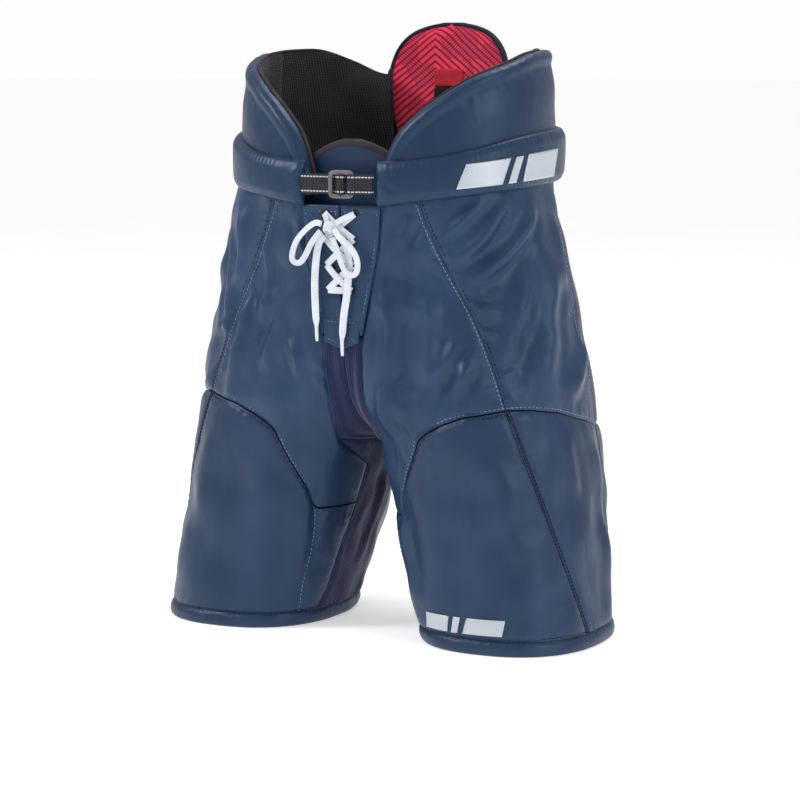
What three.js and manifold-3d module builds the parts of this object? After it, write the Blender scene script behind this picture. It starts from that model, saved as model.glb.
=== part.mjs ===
// Ice hockey pants, standing upright as if worn: a padded waist with hip wings, a spine pad, a belly pad
// and a belt strap, a laced fly, and two short padded legs. Millimetres, +Z up, the front faces -Y and the
// wearer's left is +X. Both halves are mirror images, so each half piece is made once and mirrored.
import * as THREE from "three";
import { mergeVertices } from "three/addons/utils/BufferGeometryUtils.js";
import Module from "manifold-3d";

const wasm = await Module();
wasm.setup();

// ---------------------------------------------------------------- driving dimensions

// The body surface of the left half: at each height, the widths to the outer side and to the inner side,
// and the depths to the front and to the back. Above the crotch the inner side passes the middle plane, where
// the two halves meet, and below it the halves part into two legs.
const BODY_KNOTS = [
  // height, outer x, inner x, front y, back y
  [0, 230, 56, -120, 76],
  [100, 218, 28, -113, 93],
  [190, 205, 2, -113, 103],
  [240, 198, -60, -115, 112],
  [300, 188, -140, -117, 118],
  [350, 176, -176, -118, 119],
  [430, 156, -156, -120, 118],
  [500, 155, -155, -115, 114],
  [600, 148, -148, -112, 112],
];
const ROUNDNESS = 2.35; // exponent of the superellipse that each level section follows
const DEPTH_SHIFT = -3.987; // moves the model along Y so that the origin is at the middle of its base

const FABRIC = 3; // thickness of a lined nylon panel
const SEAM_GAP = 0.5; // half the width of the gap that a sewn seam leaves between two panels
const HEM_HEIGHT = 14;
const PANEL_FOOT = HEM_HEIGHT + 0.5;
const SEAM_TOP = 9; // how far the panels run up behind the belt
const CENTRE = 0.8; // how close a half comes to the middle plane

// Angles run round the body: -90 is the front, 0 the outer side, 90 the back and -180 the inner side.
const BELT_BOTTOM = [[-80, 419], [-53, 428], [-10, 437], [40, 443], [90, 446]];
const BELT_TOP = [[-80, 462], [-55, 469.5], [-24, 484], [-2, 490], [40, 494], [90, 497]];
const BELT_START = -79;
const BELT_END = 89.8;
const BELT_THICK = 10.5;
const WING_TOP = [
  [-80, 440], [-75.5, 473], [-72, 490], [-65, 507], [-57, 521], [-40, 541], [-16, 556], [0, 564],
  [20, 567], [35, 566], [52, 555], [65, 543], [76, 540],
];
const WING_START = -79.5;
const WING_END = 70;

// Seams, as angle and height.
const SIDE_SEAM = [[-64, 424], [-60, 390], [-56, 360], [-52, 325], [-50, 283], [-50, 231]];
const LOWER_SIDE_SEAM = [[-50, 230], [-47, 188], [-38, 133], [-28, 82], [-14, 24], [-11, PANEL_FOOT]];
const THIGH_SEAM = [
  [-166, 121], [-135, 120], [-126, 144], [-111, 174], [-99, 198], [-86, 214], [-73, 223], [-50, 230],
];
const OUTER_THIGH_SEAM = [[-50, 230], [-38, 230], [-19, 225], [17, 206], [23, 202]];
const BACK_SIDE_SEAM = [[24, 416], [21, 382], [16, 344], [13, 306], [17, 266], [22, 226], [23, 203]];
const LOWER_BACK_SEAM = [[23, 202], [24, 187], [27, 147], [29, 80], [30, PANEL_FOOT]];
const STRIP_WIDTH = 28; // angle that the knit strip behind the side panel takes up
const SEAT_BOTTOM = [[51, 205], [75, 213], [100, 214], [125, 209], [140, 205]];
const INSEAM = [[-157, PANEL_FOOT], [-161, 37], [-162, 83], [-166, 120], [-169, 160], [-168, 183]];
const BACK_INSEAM = [[-203, PANEL_FOOT], [-200, 83], [-203, 150], [-212, 192]];

const STRAP = { width: 19, thick: 1.2, height: 441 };
const BUCKLE = { x: 6, y: -130, width: 26, height: 27, thick: 3, bar: 3.2 };
const EYELET_ROWS = [[16, 413], [15, 389], [14, 364], [12.5, 340]]; // distance from the middle, height
const EYELET = { outer: 4.5, inner: 2.3, thick: 1.5 };
const LACE_TUBE = 3.2;
const KNOT = { centre: [-8, -127.2, 399.5], radii: [5.6, 3.9, 5.6] };

const COLOURS = {
  nylon: 0x3f4f6a,
  wingNylon: 0x3e4d63,
  knit: 0x232a3e,
  lining: 0x181619,
  binding: 0x363037,
  stripe: 0x9b2d42,
  foam: 0x2c2c30,
  plate: 0xd8d8d4,
  webbing: 0x313235,
  buckle: 0x636366,
  eyelet: 0x151517,
  lace: 0xe4e8f0,
};

// ---------------------------------------------------------------- curves and the body surface

// A smooth function through rows of [position, value, value, ...], held constant outside them.
function profile(knots) {
  const last = knots.length - 1;
  const slope = (i, k) => {
    const a = knots[Math.max(0, i - 1)];
    const b = knots[Math.min(last, i + 1)];
    return (b[k] - a[k]) / (b[0] - a[0]);
  };
  return (position) => {
    const t = THREE.MathUtils.clamp(position, knots[0][0], knots[last][0]);
    let i = 0;
    while (i < last - 1 && t > knots[i + 1][0]) i += 1;
    const step = knots[i + 1][0] - knots[i][0];
    const s = (t - knots[i][0]) / step;
    return knots[i].slice(1).map((from, n) => {
      const to = knots[i + 1][n + 1];
      return (
        (2 * s ** 3 - 3 * s ** 2 + 1) * from +
        (s ** 3 - 2 * s ** 2 + s) * step * slope(i, n + 1) +
        (3 * s ** 2 - 2 * s ** 3) * to +
        (s ** 3 - s ** 2) * step * slope(i + 1, n + 1)
      );
    });
  };
}

const bodyAt = profile(BODY_KNOTS);
const beltBottom = (angle) => profile(BELT_BOTTOM)(angle)[0];
const beltTop = (angle) => profile(BELT_TOP)(angle)[0];
const wingTop = (angle) => profile(WING_TOP)(angle)[0];

// The point of the left half at an angle and height, and a distance out from the body surface.
function bodyPoint(angle, height, out = 0) {
  const [outerX, innerX, frontY, backY] = bodyAt(height);
  const c = Math.cos(THREE.MathUtils.degToRad(angle));
  const s = Math.sin(THREE.MathUtils.degToRad(angle));
  const power = 2 / ROUNDNESS;
  return new THREE.Vector3(
    (outerX + innerX) / 2 + ((outerX - innerX) / 2 + out) * Math.sign(c) * Math.abs(c) ** power,
    (frontY + backY) / 2 + ((backY - frontY) / 2 + out) * Math.sign(s) * Math.abs(s) ** power,
    height,
  );
}

// The angle at which the body surface is a distance x from the middle plane, on the front or the back.
function angleAt(x, height, back = false) {
  const [outerX, innerX] = bodyAt(height);
  const share = (x - (outerX + innerX) / 2) / ((outerX - innerX) / 2);
  const limited = THREE.MathUtils.clamp(share, -1, 1);
  const cosine = Math.sign(limited) * Math.abs(limited) ** (ROUNDNESS / 2);
  const angle = -THREE.MathUtils.radToDeg(Math.acos(cosine));
  return back ? -360 - angle : angle;
}

const frontEdge = (pairs) => pairs.map(([x, height]) => [angleAt(x, height), height]);

// The edge of a half along the middle plane, finely divided because its angle changes fast near the crotch.
function middleEdge(low, high, back = false) {
  const count = Math.ceil((high - low) / 4);
  return Array.from({ length: count + 1 }, (_, i) => {
    const height = THREE.MathUtils.lerp(low, high, i / count);
    return [angleAt(CENTRE, height, back) + (back ? 360 : 0), height];
  });
}

// A run through [angle, height] points, from 0 to 1 by its length, with its corners kept.
function run(points) {
  const millimetresPerDegree = 2;
  const lengths = [0];
  for (let i = 1; i < points.length; i += 1) {
    const across = (points[i][0] - points[i - 1][0]) * millimetresPerDegree;
    lengths.push(lengths[i - 1] + Math.hypot(across, points[i][1] - points[i - 1][1]));
  }
  const total = lengths[lengths.length - 1];
  return (t) => {
    let i = 1;
    while (i < points.length - 1 && lengths[i] < t * total) i += 1;
    const s = (t * total - lengths[i - 1]) / (lengths[i] - lengths[i - 1]);
    return [0, 1].map((n) => THREE.MathUtils.lerp(points[i - 1][n], points[i][n], s));
  };
}

// ---------------------------------------------------------------- solids

function geometryFrom(points, triangles) {
  const geometry = new THREE.BufferGeometry();
  const flat = points.flatMap((p) => [p.x, p.y, p.z]);
  geometry.setAttribute("position", new THREE.Float32BufferAttribute(flat, 3));
  let volume = 0;
  for (const [a, b, c] of triangles) {
    volume += points[a].dot(new THREE.Vector3().crossVectors(points[b], points[c]));
  }
  const outward = volume < 0 ? triangles.map(([a, b, c]) => [a, c, b]) : triangles;
  geometry.setIndex(outward.flat());
  return geometry;
}

// A closed slab between two grids of points that have the same rows and columns.
function slab(outer, inner) {
  const rows = outer.length;
  const columns = outer[0].length;
  const points = [...outer.flat(), ...inner.flat()];
  const front = (r, c) => r * columns + c;
  const back = (r, c) => rows * columns + front(r, c);
  const triangles = [];
  const quad = (a, b, c, d) => triangles.push([a, b, c], [a, c, d]);
  for (let r = 0; r < rows - 1; r += 1) {
    for (let c = 0; c < columns - 1; c += 1) {
      quad(front(r, c), front(r, c + 1), front(r + 1, c + 1), front(r + 1, c));
      quad(back(r, c), back(r + 1, c), back(r + 1, c + 1), back(r, c + 1));
    }
    quad(front(r, 0), front(r + 1, 0), back(r + 1, 0), back(r, 0));
    quad(front(r + 1, columns - 1), front(r, columns - 1), back(r, columns - 1), back(r + 1, columns - 1));
  }
  for (let c = 0; c < columns - 1; c += 1) {
    quad(front(0, c + 1), front(0, c), back(0, c), back(0, c + 1));
    quad(front(rows - 1, c), front(rows - 1, c + 1), back(rows - 1, c + 1), back(rows - 1, c));
  }
  return geometryFrom(points, triangles);
}

// A slab from a function of (across, up), each 0 to 1, that gives its outer and inner points.
function slabOf(columns, rows, pointsAt) {
  const grid = (side) =>
    Array.from({ length: rows + 1 }, (_, r) =>
      Array.from({ length: columns + 1 }, (_, c) => pointsAt(c / columns, r / rows)[side]),
    );
  return slab(grid(0), grid(1));
}

// A panel of the body between four runs of [angle, height]. Each run goes left to right or bottom to top.
function panel({ bottom, top, left, right }, { columns = 8, rows = 7, out = 0, thick = FABRIC } = {}) {
  const [low, high, near, far] = [bottom, top, left, right].map(run);
  const width = bodyPoint(...low(0)).distanceTo(bodyPoint(...low(1)));
  const tall = Math.abs(near(1)[1] - near(0)[1]);
  const gapAcross = SEAM_GAP / Math.max(width, 20);
  const gapUp = SEAM_GAP / Math.max(tall, 20);
  const spot = (u, v) =>
    [0, 1].map(
      (n) =>
        (1 - v) * low(u)[n] + v * high(u)[n] + (1 - u) * near(v)[n] + u * far(v)[n] -
        (1 - u) * (1 - v) * low(0)[n] - u * (1 - v) * low(1)[n] -
        (1 - u) * v * high(0)[n] - u * v * high(1)[n],
    );
  return slabOf(columns, rows, (u, v) => {
    const across = THREE.MathUtils.lerp(gapAcross, 1 - gapAcross, u);
    const up = THREE.MathUtils.lerp(gapUp, 1 - gapUp, v);
    const [angle, height] = spot(across, up);
    return [bodyPoint(angle, height, out), bodyPoint(angle, height, out - thick)];
  });
}

// A cord of round section along a smooth line through points.
function cord(points, diameter, steps) {
  const curve = new THREE.CatmullRomCurve3(points.map((p) => new THREE.Vector3(...p)));
  const section = new THREE.Shape(new THREE.EllipseCurve(0, 0, diameter / 2, diameter / 2).getPoints(8));
  return new THREE.ExtrudeGeometry(section, { extrudePath: curve, steps, bevelEnabled: false });
}

// A flat plate from an outline in the XZ plane, between two depths.
function plate(outline, depthFrom, depthTo) {
  const shape = new THREE.Shape(outline.map(([x, z]) => new THREE.Vector2(x, z)));
  const geometry = new THREE.ExtrudeGeometry(shape, { depth: depthTo - depthFrom, bevelEnabled: false });
  return geometry.rotateX(Math.PI / 2).translate(0, depthTo, 0);
}

const rectangle = (left, right, low, high) => [[left, low], [right, low], [right, high], [left, high]];

function toSolid(geometry) {
  const bare = geometry.clone();
  bare.deleteAttribute("normal");
  bare.deleteAttribute("uv");
  const merged = mergeVertices(bare, 1e-4);
  return new wasm.Manifold(
    new wasm.Mesh({
      numProp: 3,
      vertProperties: merged.attributes.position.array,
      triVerts: new Uint32Array(merged.index.array),
    }),
  );
}

function fromSolid(solid) {
  const mesh = solid.getMesh();
  return new THREE.BufferGeometry()
    .setAttribute("position", new THREE.Float32BufferAttribute(mesh.vertProperties, 3))
    .setIndex(new THREE.BufferAttribute(mesh.triVerts, 1));
}

const joined = (geometries) => fromSolid(geometries.map(toSolid).reduce((sum, next) => sum.add(next)));
const cut = (body, tools) => {
  const whole = toSolid(body);
  return fromSolid(tools.map(toSolid).reduce((rest, tool) => rest.subtract(tool), whole));
};

// ---------------------------------------------------------------- placing pieces

const pants = new THREE.Group();
const model = new THREE.Group();
model.position.y = DEPTH_SHIFT;
pants.add(model);

function add(name, geometry, colour, roughness = 0.8, metalness = 0) {
  const material = new THREE.MeshStandardMaterial({ color: colour, roughness, metalness });
  const mesh = new THREE.Mesh(geometry, material);
  mesh.name = name;
  model.add(mesh);
  return mesh;
}

function mirrored(geometry) {
  const copy = (geometry.index ? geometry.toNonIndexed() : geometry.clone()).scale(-1, 1, 1);
  const position = copy.attributes.position;
  for (let i = 0; i < position.count; i += 3) {
    const second = new THREE.Vector3().fromBufferAttribute(position, i + 1);
    const third = new THREE.Vector3().fromBufferAttribute(position, i + 2);
    position.setXYZ(i + 1, ...third);
    position.setXYZ(i + 2, ...second);
  }
  return copy;
}

function addPair(name, geometry, colour, roughness, metalness) {
  add(`left_${name}`, geometry, colour, roughness, metalness);
  add(`right_${name}`, mirrored(geometry), colour, roughness, metalness);
}

// ---------------------------------------------------------------- leg and seat panels

const panelTop = (from, to) => {
  const count = 6;
  return Array.from({ length: count + 1 }, (_, i) => {
    const angle = THREE.MathUtils.lerp(from, to, i / count);
    return [angle, beltBottom(angle) + SEAM_TOP];
  });
};
const upTo = (angle) => [angle, beltBottom(angle) + SEAM_TOP];

// Edge of the front panel next to the fly: up the crotch, then along the placket.
const FLY_SIDE = [
  [22, 208], [20, 230], [20, 250], [22, 270], [22, 297], [29, 330], [36, 365], [40, 390], [42, 419],
  [42, 428],
];
const flyEdge = frontEdge(FLY_SIDE);

function addUpperPanels() {
  const sideSeamUp = [...SIDE_SEAM].reverse();
  const besideCrotch = [[-166, 122], [-169, 160], [angleAt(23, 189), 189]];
  const backSeamUp = [...BACK_SIDE_SEAM].reverse();
  addPair(
    "front_panel",
    panel(
      {
        bottom: THIGH_SEAM.map(([angle, height]) => [angle, height + 1]),
        top: panelTop(flyEdge[flyEdge.length - 1][0], -65),
        left: [...besideCrotch, ...flyEdge.slice(0, -1), upTo(flyEdge.at(-1)[0])],
        right: [...sideSeamUp, upTo(-65)],
      },
      { columns: 8, rows: 13 },
    ),
    COLOURS.nylon,
  );
  addPair(
    "side_panel",
    panel(
      {
        bottom: OUTER_THIGH_SEAM.map(([angle, height]) => [angle, height + 1]),
        top: panelTop(-65, 24.5),
        left: [...sideSeamUp, upTo(-65)],
        right: [...backSeamUp, upTo(24.5)],
      },
      { columns: 7, rows: 8 },
    ),
    COLOURS.nylon,
  );
  const stripBack = backSeamUp.map(([angle, height]) => [angle + STRIP_WIDTH, height]);
  stripBack[0] = [SEAT_BOTTOM[0][0], SEAT_BOTTOM[0][1] + 1];
  addPair(
    "side_stretch_strip",
    panel(
      {
        bottom: [backSeamUp[0], stripBack[0]],
        top: panelTop(24.5, 24.5 + STRIP_WIDTH),
        left: [...backSeamUp, upTo(24.5)],
        right: [...stripBack, upTo(24.5 + STRIP_WIDTH)],
      },
      { columns: 2, rows: 8 },
    ),
    COLOURS.knit,
  );
  const middleBack = middleEdge(206, 420, true);
  addPair(
    "seat_panel",
    panel(
      {
        bottom: [...SEAT_BOTTOM.slice(0, -1), middleBack[0]].map(([angle, height]) => [angle, height + 1]),
        top: panelTop(24.5 + STRIP_WIDTH, 89.6),
        left: [...stripBack, upTo(24.5 + STRIP_WIDTH)],
        right: [...middleBack, upTo(89.6)],
      },
      { columns: 7, rows: 8 },
    ),
    COLOURS.nylon,
  );
}

// The stretch gusset of one half: down the front beside the middle plane, under the crotch and up the back.
function addCrotchGusset() {
  const rowsOfEdges = [
    [[angleAt(CENTRE, 295), 295], [angleAt(20, 295), 295]],
    [[angleAt(CENTRE, 270), 270], [angleAt(20, 270), 270]],
    [[angleAt(CENTRE, 250), 250], [angleAt(18.4, 250), 250]],
    [[angleAt(CENTRE, 230), 230], [angleAt(18.8, 230), 230]],
    [[angleAt(CENTRE, 215), 215], [angleAt(20.5, 208), 208]],
    [[angleAt(CENTRE, 204), 204], [angleAt(21.5, 191), 191]],
    [[angleAt(CENTRE, 197), 197], [-164, 186.5]],
    [[-180, 191.5], [-180, 185.5]],
    [[-360 - angleAt(CENTRE, 197), 197], [-197, 187]],
    [[-360 - angleAt(CENTRE, 204), 204], [-210, 193.5]],
  ];
  const lastRow = rowsOfEdges.length - 1;
  const columns = 3;
  const gusset = slabOf(columns, lastRow, (u, v) => {
    const [inner, outer] = rowsOfEdges[Math.round(v * lastRow)];
    const [angle, height] = [0, 1].map((n) => THREE.MathUtils.lerp(inner[n], outer[n], u));
    return [bodyPoint(angle, height), bodyPoint(angle, height, -FABRIC)];
  });
  addPair("crotch_gusset", gusset, COLOURS.knit);
}

function addLegPanels() {
  const seatSide = [[23, 202], ...SEAT_BOTTOM.slice(0, -1), [146, 194]];
  const thighInner = [[-157, PANEL_FOOT], [-161, 37], [-162, 83], [-166, 119.5]];
  addPair(
    "thigh_panel",
    panel(
      {
        bottom: [[-157, PANEL_FOOT], [-11, PANEL_FOOT]],
        top: THIGH_SEAM.map(([angle, height]) => [angle, height - 0.5]),
        left: thighInner,
        right: [...LOWER_SIDE_SEAM].reverse(),
      },
      { columns: 14, rows: 6 },
    ),
    COLOURS.nylon,
  );
  addPair(
    "outer_leg_panel",
    panel(
      {
        bottom: [[-11, PANEL_FOOT], [30, PANEL_FOOT]],
        top: OUTER_THIGH_SEAM.map(([angle, height]) => [angle, height - 0.5]),
        left: [...LOWER_SIDE_SEAM].reverse(),
        right: [...LOWER_BACK_SEAM].reverse(),
      },
      { columns: 5, rows: 6 },
    ),
    COLOURS.nylon,
  );
  addPair(
    "back_leg_panel",
    panel(
      {
        bottom: [[30, PANEL_FOOT], [157, PANEL_FOOT]],
        top: seatSide.map(([angle, height]) => [angle, height - 0.8]),
        left: [...LOWER_BACK_SEAM].reverse(),
        right: BACK_INSEAM.map(([angle, height]) => [angle + 360, height]),
      },
      { columns: 11, rows: 6 },
    ),
    COLOURS.nylon,
  );
  addPair(
    "inner_leg_gusset",
    panel(
      {
        bottom: [[-203, PANEL_FOOT], [-157, PANEL_FOOT]],
        top: [[-212, 190.5], [-197, 185], [-180, 184], [-168, 184]],
        left: BACK_INSEAM,
        right: INSEAM,
      },
      { columns: 4, rows: 6 },
    ),
    COLOURS.knit,
  );
}

// A rolled hem: a ring with a flat foot, which is what the pants stand on.
function addHems() {
  const columns = 32;
  const [outside, inside] = [1, -4.5];
  const section = (angle) => [
    bodyPoint(angle, 0, outside),
    bodyPoint(angle, HEM_HEIGHT, outside),
    bodyPoint(angle, HEM_HEIGHT, inside),
    bodyPoint(angle, 0, inside),
  ];
  const corners = 4;
  const points = [];
  const triangles = [];
  for (let c = 0; c < columns; c += 1) {
    points.push(...section((360 * c) / columns));
    for (let k = 0; k < corners; k += 1) {
      const here = c * corners;
      const next = ((c + 1) % columns) * corners;
      const [a, b] = [k, (k + 1) % corners];
      triangles.push([here + a, next + a, next + b], [here + a, next + b, here + b]);
    }
  }
  addPair("hem", geometryFrom(points, triangles), COLOURS.nylon);
}

// A moulded guard backed with foam, inside the front and outer side of each thigh.
function addThighGuards() {
  const [from, to, low, high] = [-118, 12, 22, 205];
  const [outside, inside] = [-6, -12.5];
  const guard = slabOf(10, 5, (u, v) => {
    const angle = THREE.MathUtils.lerp(from, to, u);
    const height = THREE.MathUtils.lerp(low, high, v);
    return [bodyPoint(angle, height, outside), bodyPoint(angle, height, inside)];
  });
  addPair("thigh_guard", guard, COLOURS.plate, 0.5);
}

// ---------------------------------------------------------------- waist

// The hip wings are layers, each from one offset of the body surface to another.
function addWings() {
  const layers = [
    ["wing_cover", 0, -1.5, COLOURS.wingNylon, 0],
    ["hip_plate", -2.1, -3.7, COLOURS.plate, 2],
    ["wing_foam", -4.3, -12, COLOURS.foam, 0],
    ["wing_lining", -12.6, -14, COLOURS.lining, 0],
  ];
  const columns = 14;
  for (const [name, outside, inside, colour, skipped] of layers) {
    const edge = skipped / columns;
    const layer = slabOf(columns - 2 * skipped, 3, (u, v) => {
      const angle = THREE.MathUtils.lerp(WING_START, WING_END, THREE.MathUtils.lerp(edge, 1 - edge, u));
      const low = beltBottom(angle) + SEAM_TOP + 1;
      const height = THREE.MathUtils.lerp(low, wingTop(angle), THREE.MathUtils.lerp(edge, 1 - edge, v));
      return [bodyPoint(angle, height, outside), bodyPoint(angle, height, inside)];
    });
    addPair(name, layer, colour);
  }
}

// The padded belt passes outside the spine pad, so it stands further out at the back.
function addBelt() {
  const gap = 1.5;
  const backBulge = 16.5;
  const belt = slabOf(18, 2, (u, v) => {
    const angle = THREE.MathUtils.lerp(BELT_START, BELT_END, u);
    const height = THREE.MathUtils.lerp(beltBottom(angle), beltTop(angle), v);
    const bulge = backBulge * THREE.MathUtils.smoothstep(angle, 45, 66);
    const thick = BELT_THICK - 2.5 * THREE.MathUtils.smoothstep(angle, 45, 66);
    const edge = v === 0.5 ? 0 : 2.5;
    return [bodyPoint(angle, height, gap + bulge + thick - edge), bodyPoint(angle, height, gap + bulge)];
  });
  addPair("belt", belt, COLOURS.wingNylon);
}

// An upright pad that bends round the body: a half width at each height, and the depth of its front face.
function uprightPad({ widths, low, frontAt, curve, from, to, columns = 6, rows = 6 }) {
  const halfWidth = profile(widths);
  const high = widths.at(-1)[0];
  return slabOf(columns, rows, (u, v) => {
    const height = THREE.MathUtils.lerp(low, high, Math.sin((v * Math.PI) / 2));
    const x = (2 * u - 1) * halfWidth(height)[0];
    const depth = frontAt(height) + curve * (x / 60) ** 2;
    return [new THREE.Vector3(x, depth + from, height), new THREE.Vector3(x, depth + to, height)];
  });
}

function addSpinePad() {
  const shape = {
    widths: [
      [456, 52], [500, 62], [540, 67], [560, 64], [574, 58], [584, 50], [592, 39], [597, 25], [600, 10],
    ],
    low: 456,
    frontAt: (height) => 117 + 5 * THREE.MathUtils.smoothstep(height, 490, 570),
    curve: -8,
  };
  add("spine_pad_lining", uprightPad({ ...shape, from: 0, to: 1.3 }), COLOURS.stripe);
  add("spine_pad_foam", uprightPad({ ...shape, from: 1.7, to: 9.3 }), COLOURS.foam);
  add("spine_pad_cover", uprightPad({ ...shape, from: 9.7, to: 11 }), COLOURS.wingNylon);
  const label = slabOf(4, 3, (u, v) => {
    const x = THREE.MathUtils.lerp(-17, 15, u);
    const height = THREE.MathUtils.lerp(519, 548, v);
    const depth = shape.frontAt(height) + shape.curve * (x / 60) ** 2;
    return [new THREE.Vector3(x, depth - 2, height), new THREE.Vector3(x, depth - 0.9, height)];
  });
  add("spine_pad_label", label, COLOURS.lining);
}

function addBellyPad() {
  const shape = {
    widths: [[385, 44], [420, 58], [452, 58], [464, 45], [472, 33], [478, 19], [481, 8]],
    low: 385,
    frontAt: () => -101,
    curve: 6,
  };
  add("belly_pad_cover", uprightPad({ ...shape, from: 0, to: 1.3 }), COLOURS.wingNylon);
  add("belly_pad_foam", uprightPad({ ...shape, from: 1.7, to: 9 }), COLOURS.foam);
}

// A pad over the tailbone, inside the seat.
function addTailbonePad() {
  const pad = uprightPad({
    widths: [[300, 22], [320, 34], [360, 48], [400, 55], [436, 52]],
    low: 300,
    frontAt: () => 104,
    curve: -5,
    from: 0,
    to: 8,
    rows: 5,
  });
  add("tailbone_pad", pad, COLOURS.foam);
}

// ---------------------------------------------------------------- belt strap and buckle

// A flat strap that stands on edge: its line seen from above, thickened, and extruded upwards.
function strap(line) {
  const half = STRAP.thick / 2;
  const sideOf = (sign) =>
    line.map(([x, y], i) => {
      const [x0, y0] = line[Math.max(0, i - 1)];
      const [x1, y1] = line[Math.min(line.length - 1, i + 1)];
      const length = Math.hypot(x1 - x0, y1 - y0);
      const shift = (sign * half) / length;
      return new THREE.Vector2(x - shift * (y1 - y0), y + shift * (x1 - x0));
    });
  const outline = new THREE.Shape([...sideOf(1), ...sideOf(-1).reverse()]);
  const geometry = new THREE.ExtrudeGeometry(outline, { depth: STRAP.width, bevelEnabled: false });
  return geometry.translate(0, 0, STRAP.height - STRAP.width / 2);
}

function addStrapAndBuckle() {
  // Round the middle bar of the buckle, and back behind itself.
  const rightLine = [
    [-36.5, -126.2], [-20, -127.4], [-8, -127.4], [-2.5, -127.6], [1, -129], [2.6, -131.4], [4.4, -132.9],
    [6.6, -133], [8.6, -132], [9.6, -129.8], [9, -127.4], [7, -126], [3, -125.3], [-10, -124.8], [-25, -124],
  ];
  // Round the outer bar, with both ends sewn to the belt.
  const leftLine = [
    [36.5, -125.5], [26, -126.8], [19, -127.3], [16, -127.3], [14.4, -128.6], [14, -130.4], [14.8, -132.4],
    [17, -133], [20, -132.6], [22.6, -130.8], [26, -129.2], [36.5, -128.2],
  ];
  add("right_strap", strap(rightLine), COLOURS.webbing, 0.9);
  add("left_strap", strap(leftLine), COLOURS.webbing, 0.9);
  const { x, y, width, height, thick, bar } = BUCKLE;
  const [low, high] = [STRAP.height - height / 2, STRAP.height + height / 2];
  const slotLow = STRAP.height - STRAP.width / 2 - 0.6;
  const slotHigh = STRAP.height + STRAP.width / 2 + 0.6;
  const slots = [
    rectangle(x - width / 2 + bar, x - bar / 2, slotLow, slotHigh),
    rectangle(x + bar / 2, x + width / 2 - bar, slotLow, slotHigh),
  ];
  const blank = plate(rectangle(x - width / 2, x + width / 2, low, high), y - thick / 2, y + thick / 2);
  const buckle = cut(blank, slots.map((slot) => plate(slot, y - thick, y + thick)));
  add("belt_buckle", buckle, COLOURS.buckle, 0.45);
}

// ---------------------------------------------------------------- laced fly

function addFly() {
  const placketTop = 421;
  const placketFoot = 297;
  const left = middleEdge(placketFoot, placketTop);
  const right = [[20.5, placketFoot], [27.5, 330], [34.5, 365], [38.5, 390], [40.5, placketTop]];
  addPair(
    "fly_placket",
    panel(
      {
        bottom: [left[0], ...frontEdge([right[0]])],
        top: [left.at(-1), ...frontEdge([right.at(-1)])],
        left,
        right: frontEdge(right),
      },
      { columns: 4, rows: 6, out: 0.6, thick: 3.6 },
    ),
    COLOURS.nylon,
  );
  const patch = [[-19, 313], [-19, 290], [0, 283], [19, 290], [19, 313]];
  add("fly_patch", plate(patch, -120.8, -118.9), COLOURS.nylon);
}

function addEyelets() {
  const turns = 12;
  const half = EYELET.thick / 2;
  const profilePoints = [
    [EYELET.inner, -half], [EYELET.outer, -half], [EYELET.outer - 1, half], [EYELET.inner + 0.5, half],
    [EYELET.inner, -half],
  ].map(([radius, height]) => new THREE.Vector2(radius, height));
  EYELET_ROWS.forEach(([x, height], row) => {
    const front = bodyPoint(angleAt(x, height), height, 0.6).y - 0.6 - half;
    const ring = new THREE.LatheGeometry(profilePoints, turns).rotateX(Math.PI);
    ring.translate(x, front, height);
    addPair(`eyelet_${row + 1}`, ring, COLOURS.eyelet, 0.4, 0.3);
  });
}

// The lacing between the eyelets, with its knot: crossings above one another, and a straight bar at the foot.
function addLacing() {
  const depth = -124.4;
  const strand = (from, to) => cord([[from[0], depth, from[1]], [to[0], depth, to[1]]], 1.8, 1);
  const strands = [];
  for (let row = 0; row < EYELET_ROWS.length - 1; row += 1) {
    const [x, height] = EYELET_ROWS[row];
    const [nextX, nextHeight] = EYELET_ROWS[row + 1];
    strands.push(strand([-x, height], [nextX, nextHeight]), strand([x, height], [-nextX, nextHeight]));
  }
  const [footX, footHeight] = EYELET_ROWS.at(-1);
  strands.push(strand([-footX - 0.6, footHeight], [footX + 0.6, footHeight]));
  const knot = new THREE.SphereGeometry(1, 10, 8).scale(...KNOT.radii).translate(...KNOT.centre);
  add("lace_crossings", joined([...strands, knot]), COLOURS.lace);
}

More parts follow.
